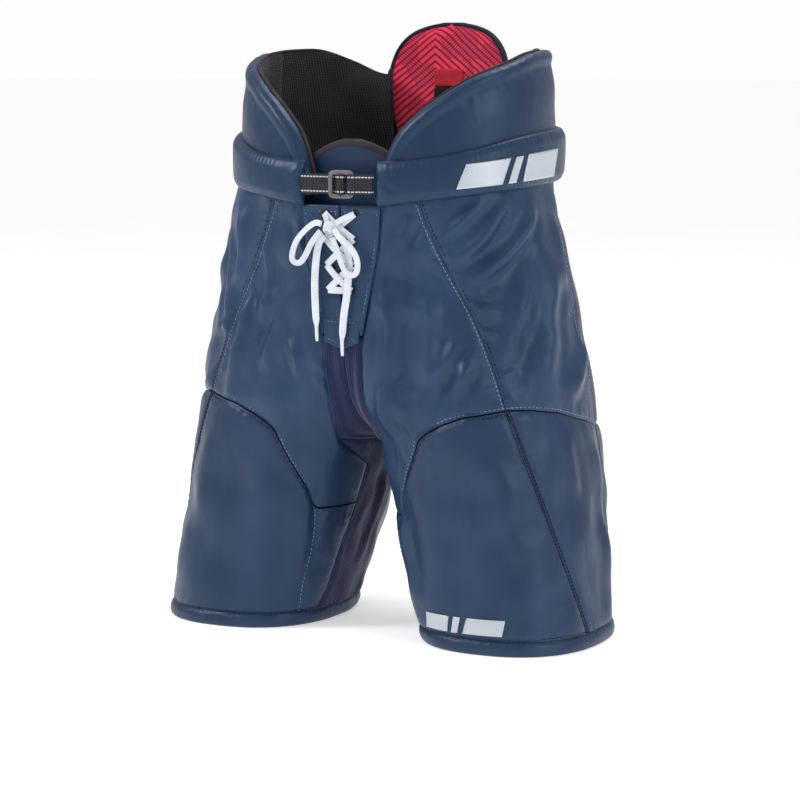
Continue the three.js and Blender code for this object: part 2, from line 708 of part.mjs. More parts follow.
// The bow: two loops and two hanging tails, each tail ending in an aglet.
function addBow() {
  const leftLoop = [
    [-0.6, -132.5, 399], [6, -133.4, 391], [15, -134, 384.5], [21.5, -134, 377.5], [25, -133.6, 368.5],
    [24, -133.2, 359.5], [19, -133, 355.8], [12.5, -133, 358.5], [7.5, -133, 366.5], [3, -133, 379],
    [-2.2, -132.8, 390.8],
  ];
  const rightLoop = [
    [-14.6, -131, 403.2], [-21.5, -132, 404], [-32, -133, 396.5], [-41, -133.2, 386], [-45.6, -133, 373.5],
    [-44.5, -132.6, 366.8], [-38, -132.4, 365.8], [-32, -132.6, 372], [-24.5, -133, 385], [-15, -132.6, 396.6],
  ];
  const rightTail = [
    [-13.4, -127.4, 392], [-18.5, -127.8, 386], [-21.5, -128, 375], [-23.5, -128, 357], [-24, -128, 340],
    [-24.3, -126.4, 324], [-24.6, -124, 307], [-24.6, -123.6, 303.4],
  ];
  const leftTail = [
    [-0.4, -127.3, 393], [5.5, -127.8, 389], [10.5, -128, 381], [13, -128, 367], [12, -128, 350],
    [10, -127.4, 334], [6.4, -125.8, 318], [3.4, -123.8, 297], [3, -123.6, 290.6],
  ];
  add("lace_loop_left", cord(leftLoop, LACE_TUBE, 22), COLOURS.lace);
  add("lace_loop_right", cord(rightLoop, LACE_TUBE, 22), COLOURS.lace);
  add("lace_tail_left", cord(leftTail, LACE_TUBE, 20), COLOURS.lace);
  add("lace_tail_right", cord(rightTail, LACE_TUBE, 18), COLOURS.lace);
  const agletLength = 13.5;
  const aglet = (x, y, top) => cord([[x, y, top], [x + 0.4, y + 0.1, top - agletLength]], 2.6, 1);
  add("lace_aglet_left", aglet(3, -123.6, 290.2), COLOURS.lace, 0.3);
  add("lace_aglet_right", aglet(-24.6, -123.6, 303), COLOURS.lace, 0.3);
}

addUpperPanels();
addCrotchGusset();
addLegPanels();
addHems();
addThighGuards();
addWings();
addBelt();
addSpinePad();
addBellyPad();
addTailbonePad();
addStrapAndBuckle();
addFly();
addEyelets();
addLacing();
addBow();

export default pants;
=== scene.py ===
"""The looks of a pair of ice hockey pants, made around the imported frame.

Pieces are built in the body's own millimetres, where the front is -Y and the wearer's left is +X, and are put
into the frame's metres at the end. A half piece is made for the left half and mirrored for the right.
"""
import math

import bpy
import numpy as np
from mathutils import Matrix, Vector


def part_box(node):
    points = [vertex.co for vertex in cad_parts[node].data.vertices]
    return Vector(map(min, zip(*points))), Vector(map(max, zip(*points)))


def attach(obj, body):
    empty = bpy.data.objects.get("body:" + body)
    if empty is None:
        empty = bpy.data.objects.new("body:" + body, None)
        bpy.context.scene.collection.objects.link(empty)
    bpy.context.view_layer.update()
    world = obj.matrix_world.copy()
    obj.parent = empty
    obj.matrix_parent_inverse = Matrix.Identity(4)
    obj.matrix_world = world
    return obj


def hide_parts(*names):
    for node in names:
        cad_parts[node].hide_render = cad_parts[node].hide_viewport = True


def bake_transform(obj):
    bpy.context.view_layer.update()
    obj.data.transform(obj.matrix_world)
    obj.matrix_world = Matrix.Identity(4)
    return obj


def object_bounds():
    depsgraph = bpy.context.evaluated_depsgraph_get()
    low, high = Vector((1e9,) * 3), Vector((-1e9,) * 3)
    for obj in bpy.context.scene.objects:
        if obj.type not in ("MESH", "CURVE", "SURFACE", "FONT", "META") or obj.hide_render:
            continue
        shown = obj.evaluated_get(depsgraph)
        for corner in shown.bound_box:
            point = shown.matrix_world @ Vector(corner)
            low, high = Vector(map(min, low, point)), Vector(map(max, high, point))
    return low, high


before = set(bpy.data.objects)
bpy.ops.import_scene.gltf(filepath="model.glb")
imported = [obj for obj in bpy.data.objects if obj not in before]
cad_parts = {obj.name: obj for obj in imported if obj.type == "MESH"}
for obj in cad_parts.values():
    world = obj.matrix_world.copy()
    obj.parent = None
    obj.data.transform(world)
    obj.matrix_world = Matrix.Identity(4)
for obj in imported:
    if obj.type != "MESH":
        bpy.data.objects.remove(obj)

cad_low, cad_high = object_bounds()

# ---------------------------------------------------------------- sizes from the frame

MM = cad_high[2] / 600  # one millimetre of the body, in metres of the frame
HEM_FRONT = -121  # the hem's furthest forward point, in the body's own millimetres
Y_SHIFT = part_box("left_hem")[0][1] / MM - HEM_FRONT

# The body surface of the left half, the same as the CAD model's: at each height, the widths to the outer and
# the inner side, and the depths to the front and the back.
BODY_KNOTS = [
    (0, 230, 56, -120, 76),
    (100, 218, 28, -113, 93),
    (190, 205, 2, -113, 103),
    (240, 198, -60, -115, 112),
    (300, 188, -140, -117, 118),
    (350, 176, -176, -118, 119),
    (430, 156, -156, -120, 118),
    (500, 155, -155, -115, 114),
    (600, 148, -148, -112, 112),
]
ROUNDNESS = 2.35
HEM_HEIGHT = 14
SEAM_TOP = 9  # how far the panels run up behind the belt
BELT_BOTTOM = [(-80, 419), (-53, 428), (-10, 437), (40, 443), (90, 446)]
BELT_TOP = [(-80, 462), (-55, 469.5), (-24, 484), (-2, 490), (40, 494), (90, 497)]
WING_TOP = [
    (-80, 440), (-75.5, 473), (-72, 490), (-65, 507), (-57, 521), (-40, 541), (-16, 556), (0, 564),
    (20, 567), (35, 566), (52, 555), (65, 543), (76, 540),
]

# Seams, as (angle, height): -90 is the front, 0 the outer side, 90 the back and -180 the inner side.
SIDE_SEAM = [(-64, 424), (-60, 390), (-56, 360), (-52, 325), (-50, 283), (-50, 231)]
LOWER_SIDE_SEAM = [(-50, 230), (-47, 188), (-38, 133), (-28, 82), (-14, 24), (-11, HEM_HEIGHT)]
THIGH_SEAM = [(-135, 120), (-126, 144), (-111, 174), (-99, 198), (-86, 214), (-73, 223), (-50, 230)]
OUTER_THIGH_SEAM = [(-50, 230), (-38, 230), (-19, 225), (11, 207), (16, 203)]
STRIP_FOOT = (16, 203)
STRIP_SEAM = [STRIP_FOOT, (15.5, 226), (10, 266), (5.5, 306), (8, 344), (12.5, 382), (16, 416)]
STRIP_TOP = 16.5  # the angle of the seam's top end, behind the belt
BACK_LEG_SEAM = [(30, HEM_HEIGHT), (28, 80), (24, 147), (18, 187), STRIP_FOOT]
STRIP_WIDTH = 28
THIGH_INNER_SEAM = [(-143, HEM_HEIGHT), (-139, 42), (-138, 80), (-135, 120)]
INSEAM = [(-157, HEM_HEIGHT), (-161, 37), (-162, 83), (-166, 121), (-169, 160)]
BACK_INSEAM = [(-203, HEM_HEIGHT), (-200, 83), (-203, 150), (-212, 192)]
SEAT_BOTTOM = [(44, 204), (72, 212), (100, 214), (125, 209), (140, 205)]
# The fly's edge, as (distance from the middle plane, height).
FLY_EDGE = [
    (21, 208), (19, 230), (19, 250), (20.5, 270), (22, 297), (29, 330), (36, 365), (40, 390), (42, 419),
]

CENTRE = 0.12  # how close a half comes to the middle plane
PANEL_THICK = 2.6
GRID = 4.2  # spacing of a panel's cloth points
GRID_PUFFED = 3.6  # the same for belts, wings and pads

SIDES = {"left": 1, "right": -1}


# ---------------------------------------------------------------- curves and the body surface


def profile(knots):
    """A smooth function through knots of (position, value, ...), held constant outside them."""
    table = np.array(knots, float)
    x, y = table[:, 0], table[:, 1:]
    before = np.maximum(np.arange(len(x)) - 1, 0)
    after = np.minimum(np.arange(len(x)) + 1, len(x) - 1)
    slope = (y[after] - y[before]) / (x[after] - x[before])[:, None]

    def value(position):
        t = np.clip(np.asarray(position, float), x[0], x[-1])
        i = np.clip(np.searchsorted(x, t, side="right") - 1, 0, len(x) - 2)
        step = (x[i + 1] - x[i])[..., None]
        s = (t - x[i])[..., None] / step
        found = (
            (2 * s**3 - 3 * s**2 + 1) * y[i]
            + (s**3 - 2 * s**2 + s) * step * slope[i]
            + (3 * s**2 - 2 * s**3) * y[i + 1]
            + (s**3 - s**2) * step * slope[i + 1]
        )
        return found[..., 0] if y.shape[1] == 1 else found

    return value


body_at = profile(BODY_KNOTS)
belt_bottom = profile(BELT_BOTTOM)
belt_top = profile(BELT_TOP)
wing_top = profile(WING_TOP)


def smoothstep(value, low, high):
    """A smooth rise from 0 at low to 1 at high."""
    t = np.clip((np.asarray(value, float) - low) / (high - low), 0, 1)
    return t * t * (3 - 2 * t)


def bell(value, width):
    """A soft bump of height 1 round zero."""
    return np.exp(-(value / width) ** 2)


def blunt(value, power):
    """A power that keeps the sign; below 1 it turns a circle into a rounded box."""
    return np.sign(value) * np.abs(value) ** power


def unit(vectors):
    """Vectors of length 1 in the same directions."""
    return vectors / np.maximum(np.linalg.norm(vectors, axis=-1, keepdims=True), 1e-9)


def directions(line):
    """The unit direction of a line at each of its points."""
    return unit(np.gradient(line, axis=0))


def square_to(tangent, vectors):
    """The unit vectors square to a tangent that lie nearest to the given vectors."""
    return unit(vectors - (vectors * tangent).sum(-1, keepdims=True) * tangent)


def body_point(angle, height, out=0.0):
    """Points of the left half at an angle and height, and a distance out from the body surface."""
    angle, height, out = np.broadcast_arrays(np.asarray(angle, float), height, out)
    outer, inner, front, back = np.moveaxis(body_at(height), -1, 0)
    c, s = np.cos(np.radians(angle)), np.sin(np.radians(angle))
    power = 2 / ROUNDNESS
    x = (outer + inner) / 2 + ((outer - inner) / 2 + out) * blunt(c, power)
    y = (front + back) / 2 + ((back - front) / 2 + out) * blunt(s, power)
    return np.stack([x, y, height + 0 * x], -1)


def angle_at(x, height, back=False):
    """The angle where the body surface is x from the middle plane, on the front or on the back."""
    outer, inner = np.moveaxis(body_at(np.asarray(height, float))[..., :2], -1, 0)
    share = np.clip((x - (outer + inner) / 2) / ((outer - inner) / 2), -1, 1)
    angle = -np.degrees(np.arccos(blunt(share, ROUNDNESS / 2)))
    return -angle if back else angle


def front_edge(pairs):
    """(distance from the middle plane, height) pairs on the front as (angle, height)."""
    return [(float(angle_at(x, height)), height) for x, height in pairs]


def run(points):
    """A run through (angle, height) points, from 0 to 1 by its length."""
    table = np.array(points, float)
    steps = np.hypot(np.diff(table[:, 0]) * 2, np.diff(table[:, 1]))
    along = np.concatenate([[0], np.cumsum(steps)]) / steps.sum()
    return lambda t: np.stack([np.interp(t, along, table[:, 0]), np.interp(t, along, table[:, 1])], -1)


def smooth_line(points, count):
    """count points evenly spaced along a smooth line through points."""
    p = np.array(points, float)
    ends = np.concatenate([[2 * p[0] - p[1]], p, [2 * p[-1] - p[-2]]])
    s = np.linspace(0, 1, 24, endpoint=False)[:, None]
    fine = []
    for a, b, c, d in zip(ends, ends[1:], ends[2:], ends[3:]):
        fine.append(0.5 * (2 * b + (c - a) * s + (2 * a - 5 * b + 4 * c - d) * s**2
                           + (3 * b - a - 3 * c + d) * s**3))
    fine = np.concatenate([*fine, p[-1:]])
    along = np.concatenate([[0], np.cumsum(np.linalg.norm(np.diff(fine, axis=0), axis=1))])
    at = np.linspace(0, along[-1], count)
    return np.stack([np.interp(at, along, fine[:, k]) for k in range(fine.shape[1])], -1)


def line_length(points):
    return float(np.linalg.norm(np.diff(points, axis=0), axis=1).sum())


def grid_normals(grid):
    """Unit normals of a grid of points."""
    return unit(np.cross(np.gradient(grid, axis=1), np.gradient(grid, axis=0)))


# ---------------------------------------------------------------- meshes


def to_frame(points, side=1):
    """Body millimetres to frame metres, mirrored for the right half."""
    p = np.array(points, float)
    p[..., 0] *= side
    p[..., 1] += Y_SHIFT
    return p * MM


def mesh_object(name, points, faces, uv=None, side=1):
    """A mesh object from body points and faces, turned so that its faces look out."""
    world = to_frame(points, side).reshape(-1, 3)
    faces = [tuple(f) for f in faces]
    volume = 0.0
    for f in faces:
        for k in range(1, len(f) - 1):
            volume += np.dot(world[f[0]], np.cross(world[f[k]], world[f[k + 1]]))
    if volume < 0:
        faces = [f[::-1] for f in faces]
    mesh = bpy.data.meshes.new(name)
    mesh.from_pydata(world.tolist(), [], faces)
    if uv is not None:
        layer = mesh.uv_layers.new(name="UVMap")
        index = np.empty(len(mesh.loops), int)
        mesh.loops.foreach_get("vertex_index", index)
        layer.data.foreach_set("uv", np.asarray(uv, np.float32)[index].ravel())
    mesh.shade_smooth()
    obj = bpy.data.objects.new(name, mesh)
    bpy.context.scene.collection.objects.link(obj)
    return obj


def grid_faces(rows, columns, start=0, closed=False):
    """The four-sided faces of a grid of points; a closed grid joins its last column to its first."""
    wrap = columns if closed else columns - 1
    for r in range(rows - 1):
        for c in range(wrap):
            d = (c + 1) % columns
            yield (start + r * columns + c, start + r * columns + d,
                   start + (r + 1) * columns + d, start + (r + 1) * columns + c)


def lengths_along(grid, axis):
    """Each point's distance from the grid's first row or column, measured along the grid."""
    steps = np.linalg.norm(np.diff(grid, axis=axis), axis=-1)
    before = ((1, 0), (0, 0)) if axis == 0 else ((0, 0), (1, 0))
    return np.pad(np.cumsum(steps, axis=axis), before)


def grid_uv(grid):
    """The distances across and up a grid, in metres, as texture coordinates."""
    across = lengths_along(grid, 1)
    up = lengths_along(grid, 0)
    return np.stack([across - across[:, -1:] / 2, up], -1).reshape(-1, 2) * MM


def slab(name, outer, inner, side=1):
    """A closed slab between two grids of the same shape."""
    rows, columns = outer.shape[:2]
    back = rows * columns
    faces = list(grid_faces(rows, columns))
    faces += [f[::-1] for f in grid_faces(rows, columns, back)]
    ring = [*range(columns), *(r * columns + columns - 1 for r in range(1, rows)),
            *range(rows * columns - 2, (rows - 1) * columns - 1, -1),
            *(r * columns for r in range(rows - 2, 0, -1))]
    faces += [(b, a, a + back, b + back) for a, b in zip(ring, ring[1:] + ring[:1])]
    points = np.concatenate([outer.reshape(-1, 3), inner.reshape(-1, 3)])
    uv = grid_uv(outer)
    return mesh_object(name, points, faces, np.concatenate([uv, uv]), side)


def rings_round(line, across, depth, wide, deep):
    """Rings of points round a line: wide and deep say how far each point lies across it and in depth."""
    return line[:, None] + across[..., None, :] * wide[:, None] + depth[..., None, :] * deep[:, None]


def tube_mesh(name, sections, side=1):
    """A tube closed at both ends, from rings of points: sections is (rings, points round, 3)."""
    rings, around = sections.shape[:2]
    faces = list(grid_faces(rings, around, closed=True))
    faces += [tuple(range(around))[::-1], tuple(range((rings - 1) * around, rings * around))]
    return mesh_object(name, sections.reshape(-1, 3), faces, grid_uv(sections), side)


def loop_mesh(name, sections, side=1):
    """A ring-shaped solid from sections that close on themselves."""
    rings, around = sections.shape[:2]
    closed = np.concatenate([sections, sections[:1]])
    faces = []
    for f in grid_faces(rings + 1, around, closed=True):
        faces.append(tuple(i % (rings * around) for i in f))
    uv = grid_uv(closed)[: rings * around]
    return mesh_object(name, sections.reshape(-1, 3), faces, uv, side)


def joined_mesh(name, solids, side=1):
    """One mesh of many small separate solids, each (points, faces)."""
    points, faces, start = [], [], 0
    for p, f in solids:
        points.append(p)
        faces += [tuple(i + start for i in face) for face in f]
        start += len(p)
    world = to_frame(np.concatenate(points), side)
    if side < 0:
        faces = [f[::-1] for f in faces]
    mesh = bpy.data.meshes.new(name)
    mesh.from_pydata(world.tolist(), [], faces)
    mesh.shade_smooth()
    obj = bpy.data.objects.new(name, mesh)
    bpy.context.scene.collection.objects.link(obj)
    return obj


# ---------------------------------------------------------------- materials


def colour(red, green, blue):
    """A linear colour from 0-255 values as they look on a screen."""
    def linear(c):
        c = c / 255
        return c / 12.92 if c <= 0.04045 else ((c + 0.055) / 1.055) ** 2.4
    return (linear(red), linear(green), linear(blue), 1)


class Surface:
    """A material under construction: a principled shader and short ways to add nodes to it."""

    def __init__(self, name, roughness, **fixed):
        self.material = bpy.data.materials.new(name)
        self.material.use_nodes = True
        self.tree = self.material.node_tree
        self.shader = self.tree.nodes["Principled BSDF"]
        self.coords = self.tree.nodes.new("ShaderNodeTexCoord")
        self.shader.inputs["Roughness"].default_value = roughness
        for socket, value in fixed.items():
            self.shader.inputs[socket.replace("_", " ")].default_value = value

    def node(self, kind, **settings):
        made = self.tree.nodes.new(kind)
        for key, value in settings.items():
            setattr(made, key, value)
        return made

    def link(self, source, target):
        self.tree.links.new(source, target)

    def noise(self, scale, detail=3, space="Object", stretch=(1, 1, 1)):
        mapping = self.node("ShaderNodeMapping")
        mapping.inputs["Scale"].default_value = stretch
        self.link(self.coords.outputs[space], mapping.inputs["Vector"])
        made = self.node("ShaderNodeTexNoise")
        made.inputs["Scale"].default_value = scale
        made.inputs["Detail"].default_value = detail
        self.link(mapping.outputs["Vector"], made.inputs["Vector"])
        return made.outputs["Fac"]

    def wave(self, scale, direction, space="UV", distortion=0.0):
        """Straight ribs: scale is in ribs per metre."""
        made = self.node("ShaderNodeTexWave", wave_type="BANDS", bands_direction=direction)
        made.inputs["Scale"].default_value = scale / 20 * math.tau
        made.inputs["Distortion"].default_value = distortion
        made.inputs["Detail"].default_value = 1
        self.link(self.coords.outputs[space], made.inputs["Vector"])
        return made.outputs["Fac"]

    def maths(self, operation, *inputs):
        made = self.node("ShaderNodeMath", operation=operation)
        for i, value in enumerate(inputs):
            if isinstance(value, (int, float)):
                made.inputs[i].default_value = value
            else:
                self.link(value, made.inputs[i])
        return made.outputs[0]

    def ramp(self, factor, *stops):
        made = self.node("ShaderNodeValToRGB")
        ends = made.color_ramp.elements
        while len(ends) < len(stops):
            ends.new(0.5)
        for element, (position, value) in zip(ends, stops):
            element.position = position
            element.color = value
        self.link(factor, made.inputs["Fac"])
        return made.outputs["Color"]

    def mix(self, factor, first, second):
        made = self.node("ShaderNodeMix", data_type="RGBA")
        self.link(factor, made.inputs["Factor"])
        for value, socket in ((first, made.inputs[6]), (second, made.inputs[7])):
            if isinstance(value, tuple):
                socket.default_value = value
            else:
                self.link(value, socket)
        return made.outputs[2]

    def base(self, output):
        self.link(output, self.shader.inputs["Base Color"])

    def bump(self, *heights, distance=0.0004):
        """Bumps from (height output, strength) pairs, one on top of another."""
        before = None
        for height, strength in heights:
            made = self.node("ShaderNodeBump")
            made.inputs["Strength"].default_value = strength
            made.inputs["Distance"].default_value = distance
            self.link(height, made.inputs["Height"])
            if before is not None:
                self.link(before, made.inputs["Normal"])
            before = made.outputs["Normal"]
        self.link(before, self.shader.inputs["Normal"])

    def rough(self, factor, low, high):
        self.link(self.maths("MULTIPLY_ADD", factor, high - low, low), self.shader.inputs["Roughness"])


def nylon(name, dark, light, roughness, gloss):
    """Woven nylon: a painted sheen of soft upright light and dark streaks over random cloudy tone, faint
    creasing and a fine weave.
    """
    s = Surface(name, roughness, Specular_IOR_Level=gloss, Specular_Tint=(0.62, 0.8, 1, 1))
    # painted sheen: the upright streaks in the base colour stand in for the satin's reflected light; the
    # clouds are the cloth's own uneven tone
    sheen_streaks = s.noise(24, 4, stretch=(1, 1, 0.16))
    clouds = s.noise(8, 3)
    shade = s.maths("ADD", s.maths("MULTIPLY", sheen_streaks, 0.6), s.maths("MULTIPLY", clouds, 0.4))
    s.base(s.ramp(shade, (0.34, dark), (0.66, light)))
    crease = s.noise(30, 2, stretch=(1, 1, 0.42))
    crinkle = s.maths("ABSOLUTE", s.maths("SUBTRACT", crease, 0.5))
    weave = s.maths("ADD", s.noise(2600, 1, stretch=(1, 1, 0.2)), s.noise(2600, 1, stretch=(0.2, 0.2, 1)))
    s.rough(s.noise(40, 3), roughness - 0.06, roughness + 0.1)
    s.bump((crinkle, 0.45), (s.noise(95, 1, stretch=(1, 1, 0.6)), 0.12), (weave, 0.05), distance=0.003)
    return s.material


def ribbed(name, dark, light, ribs, direction="X"):
    """Stretch knit with fine ribs."""
    s = Surface(name, 0.75, Specular_IOR_Level=0.25, Sheen_Weight=0.25, Sheen_Roughness=0.4)
    rib = s.wave(ribs, direction, distortion=0.6)
    cloudy = s.noise(30, 3)
    shade = s.maths("MULTIPLY_ADD", rib, 0.5, s.maths("MULTIPLY", cloudy, 0.5))
    s.base(s.ramp(shade, (0.2, dark), (0.8, light)))
    s.bump((rib, 0.6), (s.noise(900, 2), 0.2))
    return s.material


def mesh_cloth(name, dark, light):
    """Warp-knit mesh: ribs along the body crossed by finer rows."""
    s = Surface(name, 0.8, Specular_IOR_Level=0.2, Sheen_Weight=0.2, Sheen_Roughness=0.4)
    ribs = s.wave(330, "X", distortion=0.3)
    rows = s.wave(600, "Y")
    holes = s.maths("MULTIPLY", ribs, rows)
    s.base(s.ramp(s.maths("ADD", s.maths("MULTIPLY", holes, 0.7), s.maths("MULTIPLY", s.noise(25), 0.4)),
                  (0.15, dark), (0.9, light)))
    s.bump((holes, 0.8))
    return s.material


def plain_cloth(name, dark, light, scale=1400, roughness=0.8):
    """Matt woven cloth; scale sets how fine its weave is."""
    s = Surface(name, roughness, Specular_IOR_Level=0.25)
    s.base(s.ramp(s.noise(45, 4), (0.3, dark), (0.7, light)))
    s.bump((s.noise(scale, 2), 0.5))
    return s.material


def moulded(name, dark, light, roughness=0.42):
    """Moulded plastic, foam or painted metal with a fine grain."""
    s = Surface(name, roughness, Specular_IOR_Level=0.45)
    s.base(s.ramp(s.noise(60, 3), (0.35, dark), (0.65, light)))
    s.rough(s.noise(300, 2), roughness - 0.05, roughness + 0.12)
    s.bump((s.noise(700, 2), 0.12))
    return s.material


def striped_lining():
    """A bright lining with slanting bands that turn into chevrons, its own pattern."""
    s = Surface("striped lining", 0.7, Specular_IOR_Level=0.25)
    split = s.node("ShaderNodeSeparateXYZ")
    s.link(s.coords.outputs["UV"], split.inputs[0])
    slope = s.maths("MULTIPLY", s.maths("ABSOLUTE", s.maths("ADD", split.outputs[0], 0.018)), 0.8)
    along = s.maths("ADD", split.outputs[1], slope)
    bent = s.maths("ADD", along, s.maths("MULTIPLY", s.noise(26, 2), 0.006))
    band = s.maths("FRACT", s.maths("MULTIPLY", bent, 1 / 0.0075))
    fine = s.maths("FRACT", s.maths("MULTIPLY", s.maths("SUBTRACT", split.outputs[1], slope), 1 / 0.0032))
    broad = s.maths("GREATER_THAN", band, 0.62)
    thin = s.maths("GREATER_THAN", fine, 0.6)
    patchy = s.maths("GREATER_THAN", s.noise(34, 1), 0.54)
    dark = s.maths("MAXIMUM", broad, s.maths("MULTIPLY", thin, patchy))
    s.base(s.mix(dark, colour(252, 60, 88), colour(130, 32, 62)))
    s.bump((s.noise(1500, 2), 0.4))
    return s.material


def webbing():
    """Dark webbing, with a light thread line near each edge."""
    s = Surface("webbing", 0.72, Specular_IOR_Level=0.3)
    split = s.node("ShaderNodeSeparateXYZ")
    s.link(s.coords.outputs["UV"], split.inputs[0])
    rows = s.wave(700, "X")
    ridges = s.wave(420, "Y")
    from_edge = s.maths("ABSOLUTE", s.maths("SUBTRACT", s.maths("ABSOLUTE", split.outputs[1]), 0.0069))
    line = s.maths("LESS_THAN", from_edge, 0.00055)
    dash = s.maths("GREATER_THAN", s.maths("FRACT", s.maths("MULTIPLY", split.outputs[0], 1 / 0.0034)), 0.3)
    weave = s.ramp(s.maths("MULTIPLY", rows, ridges), (0.1, colour(30, 31, 34)), (0.9, colour(58, 59, 64)))
    s.base(s.mix(s.maths("MULTIPLY", line, dash), weave, colour(206, 208, 212)))
    s.bump((s.maths("ADD", rows, ridges), 0.5))
    return s.material


def lace_cloth():
    """A flat white braided lace."""
    s = Surface("lace", 0.7, Specular_IOR_Level=0.3, Sheen_Weight=0.2, Sheen_Roughness=0.4)
    braid = s.maths("MULTIPLY", s.wave(900, "DIAGONAL"), s.wave(1300, "Y"))
    s.base(s.ramp(s.maths("ADD", s.maths("MULTIPLY", braid, 0.5), s.maths("MULTIPLY", s.noise(120), 0.5)),
                  (0.1, colour(196, 205, 218)), (0.6, colour(238, 241, 247))))
    s.bump((braid, 0.6))
    return s.material


def silver_mark():
    """The silver print of the plain marks."""
    s = Surface("silver mark", 0.38, Specular_IOR_Level=0.6, Metallic=0.35)
    s.base(s.ramp(s.noise(1800, 2), (0.3, colour(176, 184, 192)), (0.7, colour(196, 203, 211))))
    s.bump((s.noise(2000, 1), 0.2))
    return s.material


def floor_paper():
    """White studio paper that glows a little, so that it stays as pale as the backdrop."""
    s = Surface("floor", 0.9, Specular_IOR_Level=0.05, Emission_Color=(1, 1, 1, 1), Emission_Strength=0.45)
    s.base(s.ramp(s.noise(3, 2), (0.3, colour(243, 243, 243)), (0.7, colour(247, 247, 247))))
    return s.material


BODY = nylon("body nylon", colour(26, 46, 73), colour(41, 62, 92), 0.4, 0.42)
LEG = nylon("leg nylon", colour(27, 44, 70), colour(38, 57, 86), 0.4, 0.42)
WING = nylon("wing nylon", colour(23, 42, 68), colour(32, 52, 81), 0.38, 0.42)
KNIT = ribbed("stretch knit", colour(20, 26, 58), colour(34, 42, 82), 420)
STRIP = ribbed("strip knit", colour(28, 26, 58), colour(46, 42, 86), 380)
LINING = mesh_cloth("mesh lining", colour(21, 20, 24), colour(74, 72, 77))
INNER = plain_cloth("inner cloth", colour(15, 16, 22), colour(28, 29, 38))
BINDING = plain_cloth("binding", colour(42, 36, 42), colour(64, 57, 64), 1800)
NAVY_BINDING = plain_cloth("navy binding", colour(20, 24, 38), colour(34, 39, 56), 1800)
RED = striped_lining()
WEBBING = webbing()
LACE = lace_cloth()
TIP = moulded("lace tip", colour(205, 212, 222), colour(228, 233, 240), 0.3)
BUCKLE = moulded("buckle plastic", colour(86, 86, 90), colour(106, 106, 110), 0.4)
EYELET = moulded("eyelet metal", colour(14, 14, 17), colour(34, 34, 38), 0.32)
# painted shadow: near-black colour for the dish that stands in for the shade inside each eyelet
EYELET_SHADOW = plain_cloth("eyelet hole", colour(5, 5, 7), colour(10, 10, 13))
GUARD = moulded("guard foam", colour(60, 60, 64), colour(78, 78, 82), 0.6)
SILVER = silver_mark()
LIGHT_THREAD = plain_cloth("light thread", colour(112, 132, 168), colour(140, 160, 192), 3000, 0.6)
DARK_THREAD = plain_cloth("dark thread", colour(14, 16, 24), colour(26, 29, 40), 3000, 0.6)
LABEL_RED = plain_cloth("label red", colour(176, 34, 52), colour(206, 46, 64), 2400)
LABEL_BLACK = plain_cloth("label black", colour(14, 14, 17), colour(27, 27, 31), 2400)


def finish_piece(obj, material, slot=None, body=None, smooth=0):
    """Gives a piece its material, its body and one round of smoothing if wanted; the slot argument is not
    used.
    """
    obj.data.materials.clear()
    obj.data.materials.append(material)
    if smooth:
        modifier = obj.modifiers.new("smooth", "SUBSURF")
        modifier.levels = smooth
        modifier.render_levels = smooth
        apply_modifiers(obj)
    if body:
        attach(obj, body)
    return obj


def apply_modifiers(obj):
    """Makes what the modifiers show the piece's own mesh."""
    bpy.context.view_layer.update()
    graph = bpy.context.evaluated_depsgraph_get()
    mesh = bpy.data.meshes.new_from_object(obj.evaluated_get(graph), depsgraph=graph)
    obj.modifiers.clear()
    old = obj.data
    obj.data = mesh
    bpy.data.meshes.remove(old)


# ---------------------------------------------------------------- camera, floor and light


def make_stage():
    """The camera, the floor, the backdrop and three soft lights."""
    target = Vector(to_frame((0, -Y_SHIFT, 220)))
    azimuth, elevation, distance = math.radians(27), math.radians(7.5), 2600 * MM
    away = Vector((math.sin(azimuth) * math.cos(elevation), -math.cos(azimuth) * math.cos(elevation),
                   math.sin(elevation)))
    data = bpy.data.cameras.new("camera")
    data.lens = 117
    data.sensor_width = 36
    data.clip_end = 200
    camera = bpy.data.objects.new("camera", data)
    camera.location = target + away * distance
    camera.rotation_euler = (-away).to_track_quat("-Z", "Y").to_euler()
    bpy.context.scene.collection.objects.link(camera)
    bpy.context.scene.camera = camera

    reach = 60
    floor_data = bpy.data.meshes.new("floor")
    floor_data.from_pydata([(-reach, -reach, 0), (reach, -reach, 0), (reach, reach, 0), (-reach, reach, 0)],
                           [], [(0, 1, 2, 3)])
    floor = bpy.data.objects.new("floor", floor_data)
    floor.data.materials.append(floor_paper())
    bpy.context.scene.collection.objects.link(floor)

    world = bpy.data.worlds.new("studio")
    world.use_nodes = True
    background = world.node_tree.nodes["Background"]
    background.inputs["Color"].default_value = (1, 1, 1, 1)
    seen = world.node_tree.nodes.new("ShaderNodeLightPath").outputs["Is Camera Ray"]
    strength = world.node_tree.nodes.new("ShaderNodeMapRange")
    strength.inputs["To Min"].default_value = 0.55  # the light that falls on the object
    strength.inputs["To Max"].default_value = 0.99  # the backdrop, as bright as the far floor
    world.node_tree.links.new(seen, strength.inputs["Value"])
    world.node_tree.links.new(strength.outputs["Result"], background.inputs["Strength"])
    bpy.context.scene.world = world
    bpy.context.scene.view_settings.view_transform = "Standard"

    for name, place, size, power in (
        ("key", (-1.9, -1.5, 2.3), 0.8, 44),
        ("fill", (2.6, -0.9, 1.4), 1.2, 20),
        ("top", (0.3, 0.9, 2.6), 1.2, 26),
    ):
        light = bpy.data.lights.new(name, "AREA")
        light.size = size
        light.energy = power
        lamp = bpy.data.objects.new(name, light)
        lamp.location = place
        lamp.rotation_euler = (Vector((0, 0, 0.3)) - Vector(place)).to_track_quat("-Z", "Y").to_euler()
        bpy.context.scene.collection.objects.link(lamp)


make_stage()

# ---------------------------------------------------------------- the crotch points of a half, and baking a piece's transform

BEND_START = (0, 185)  # the crotch of the left half, as (distance from the middle plane, height)
BEND_END = (76.5, 117.7)


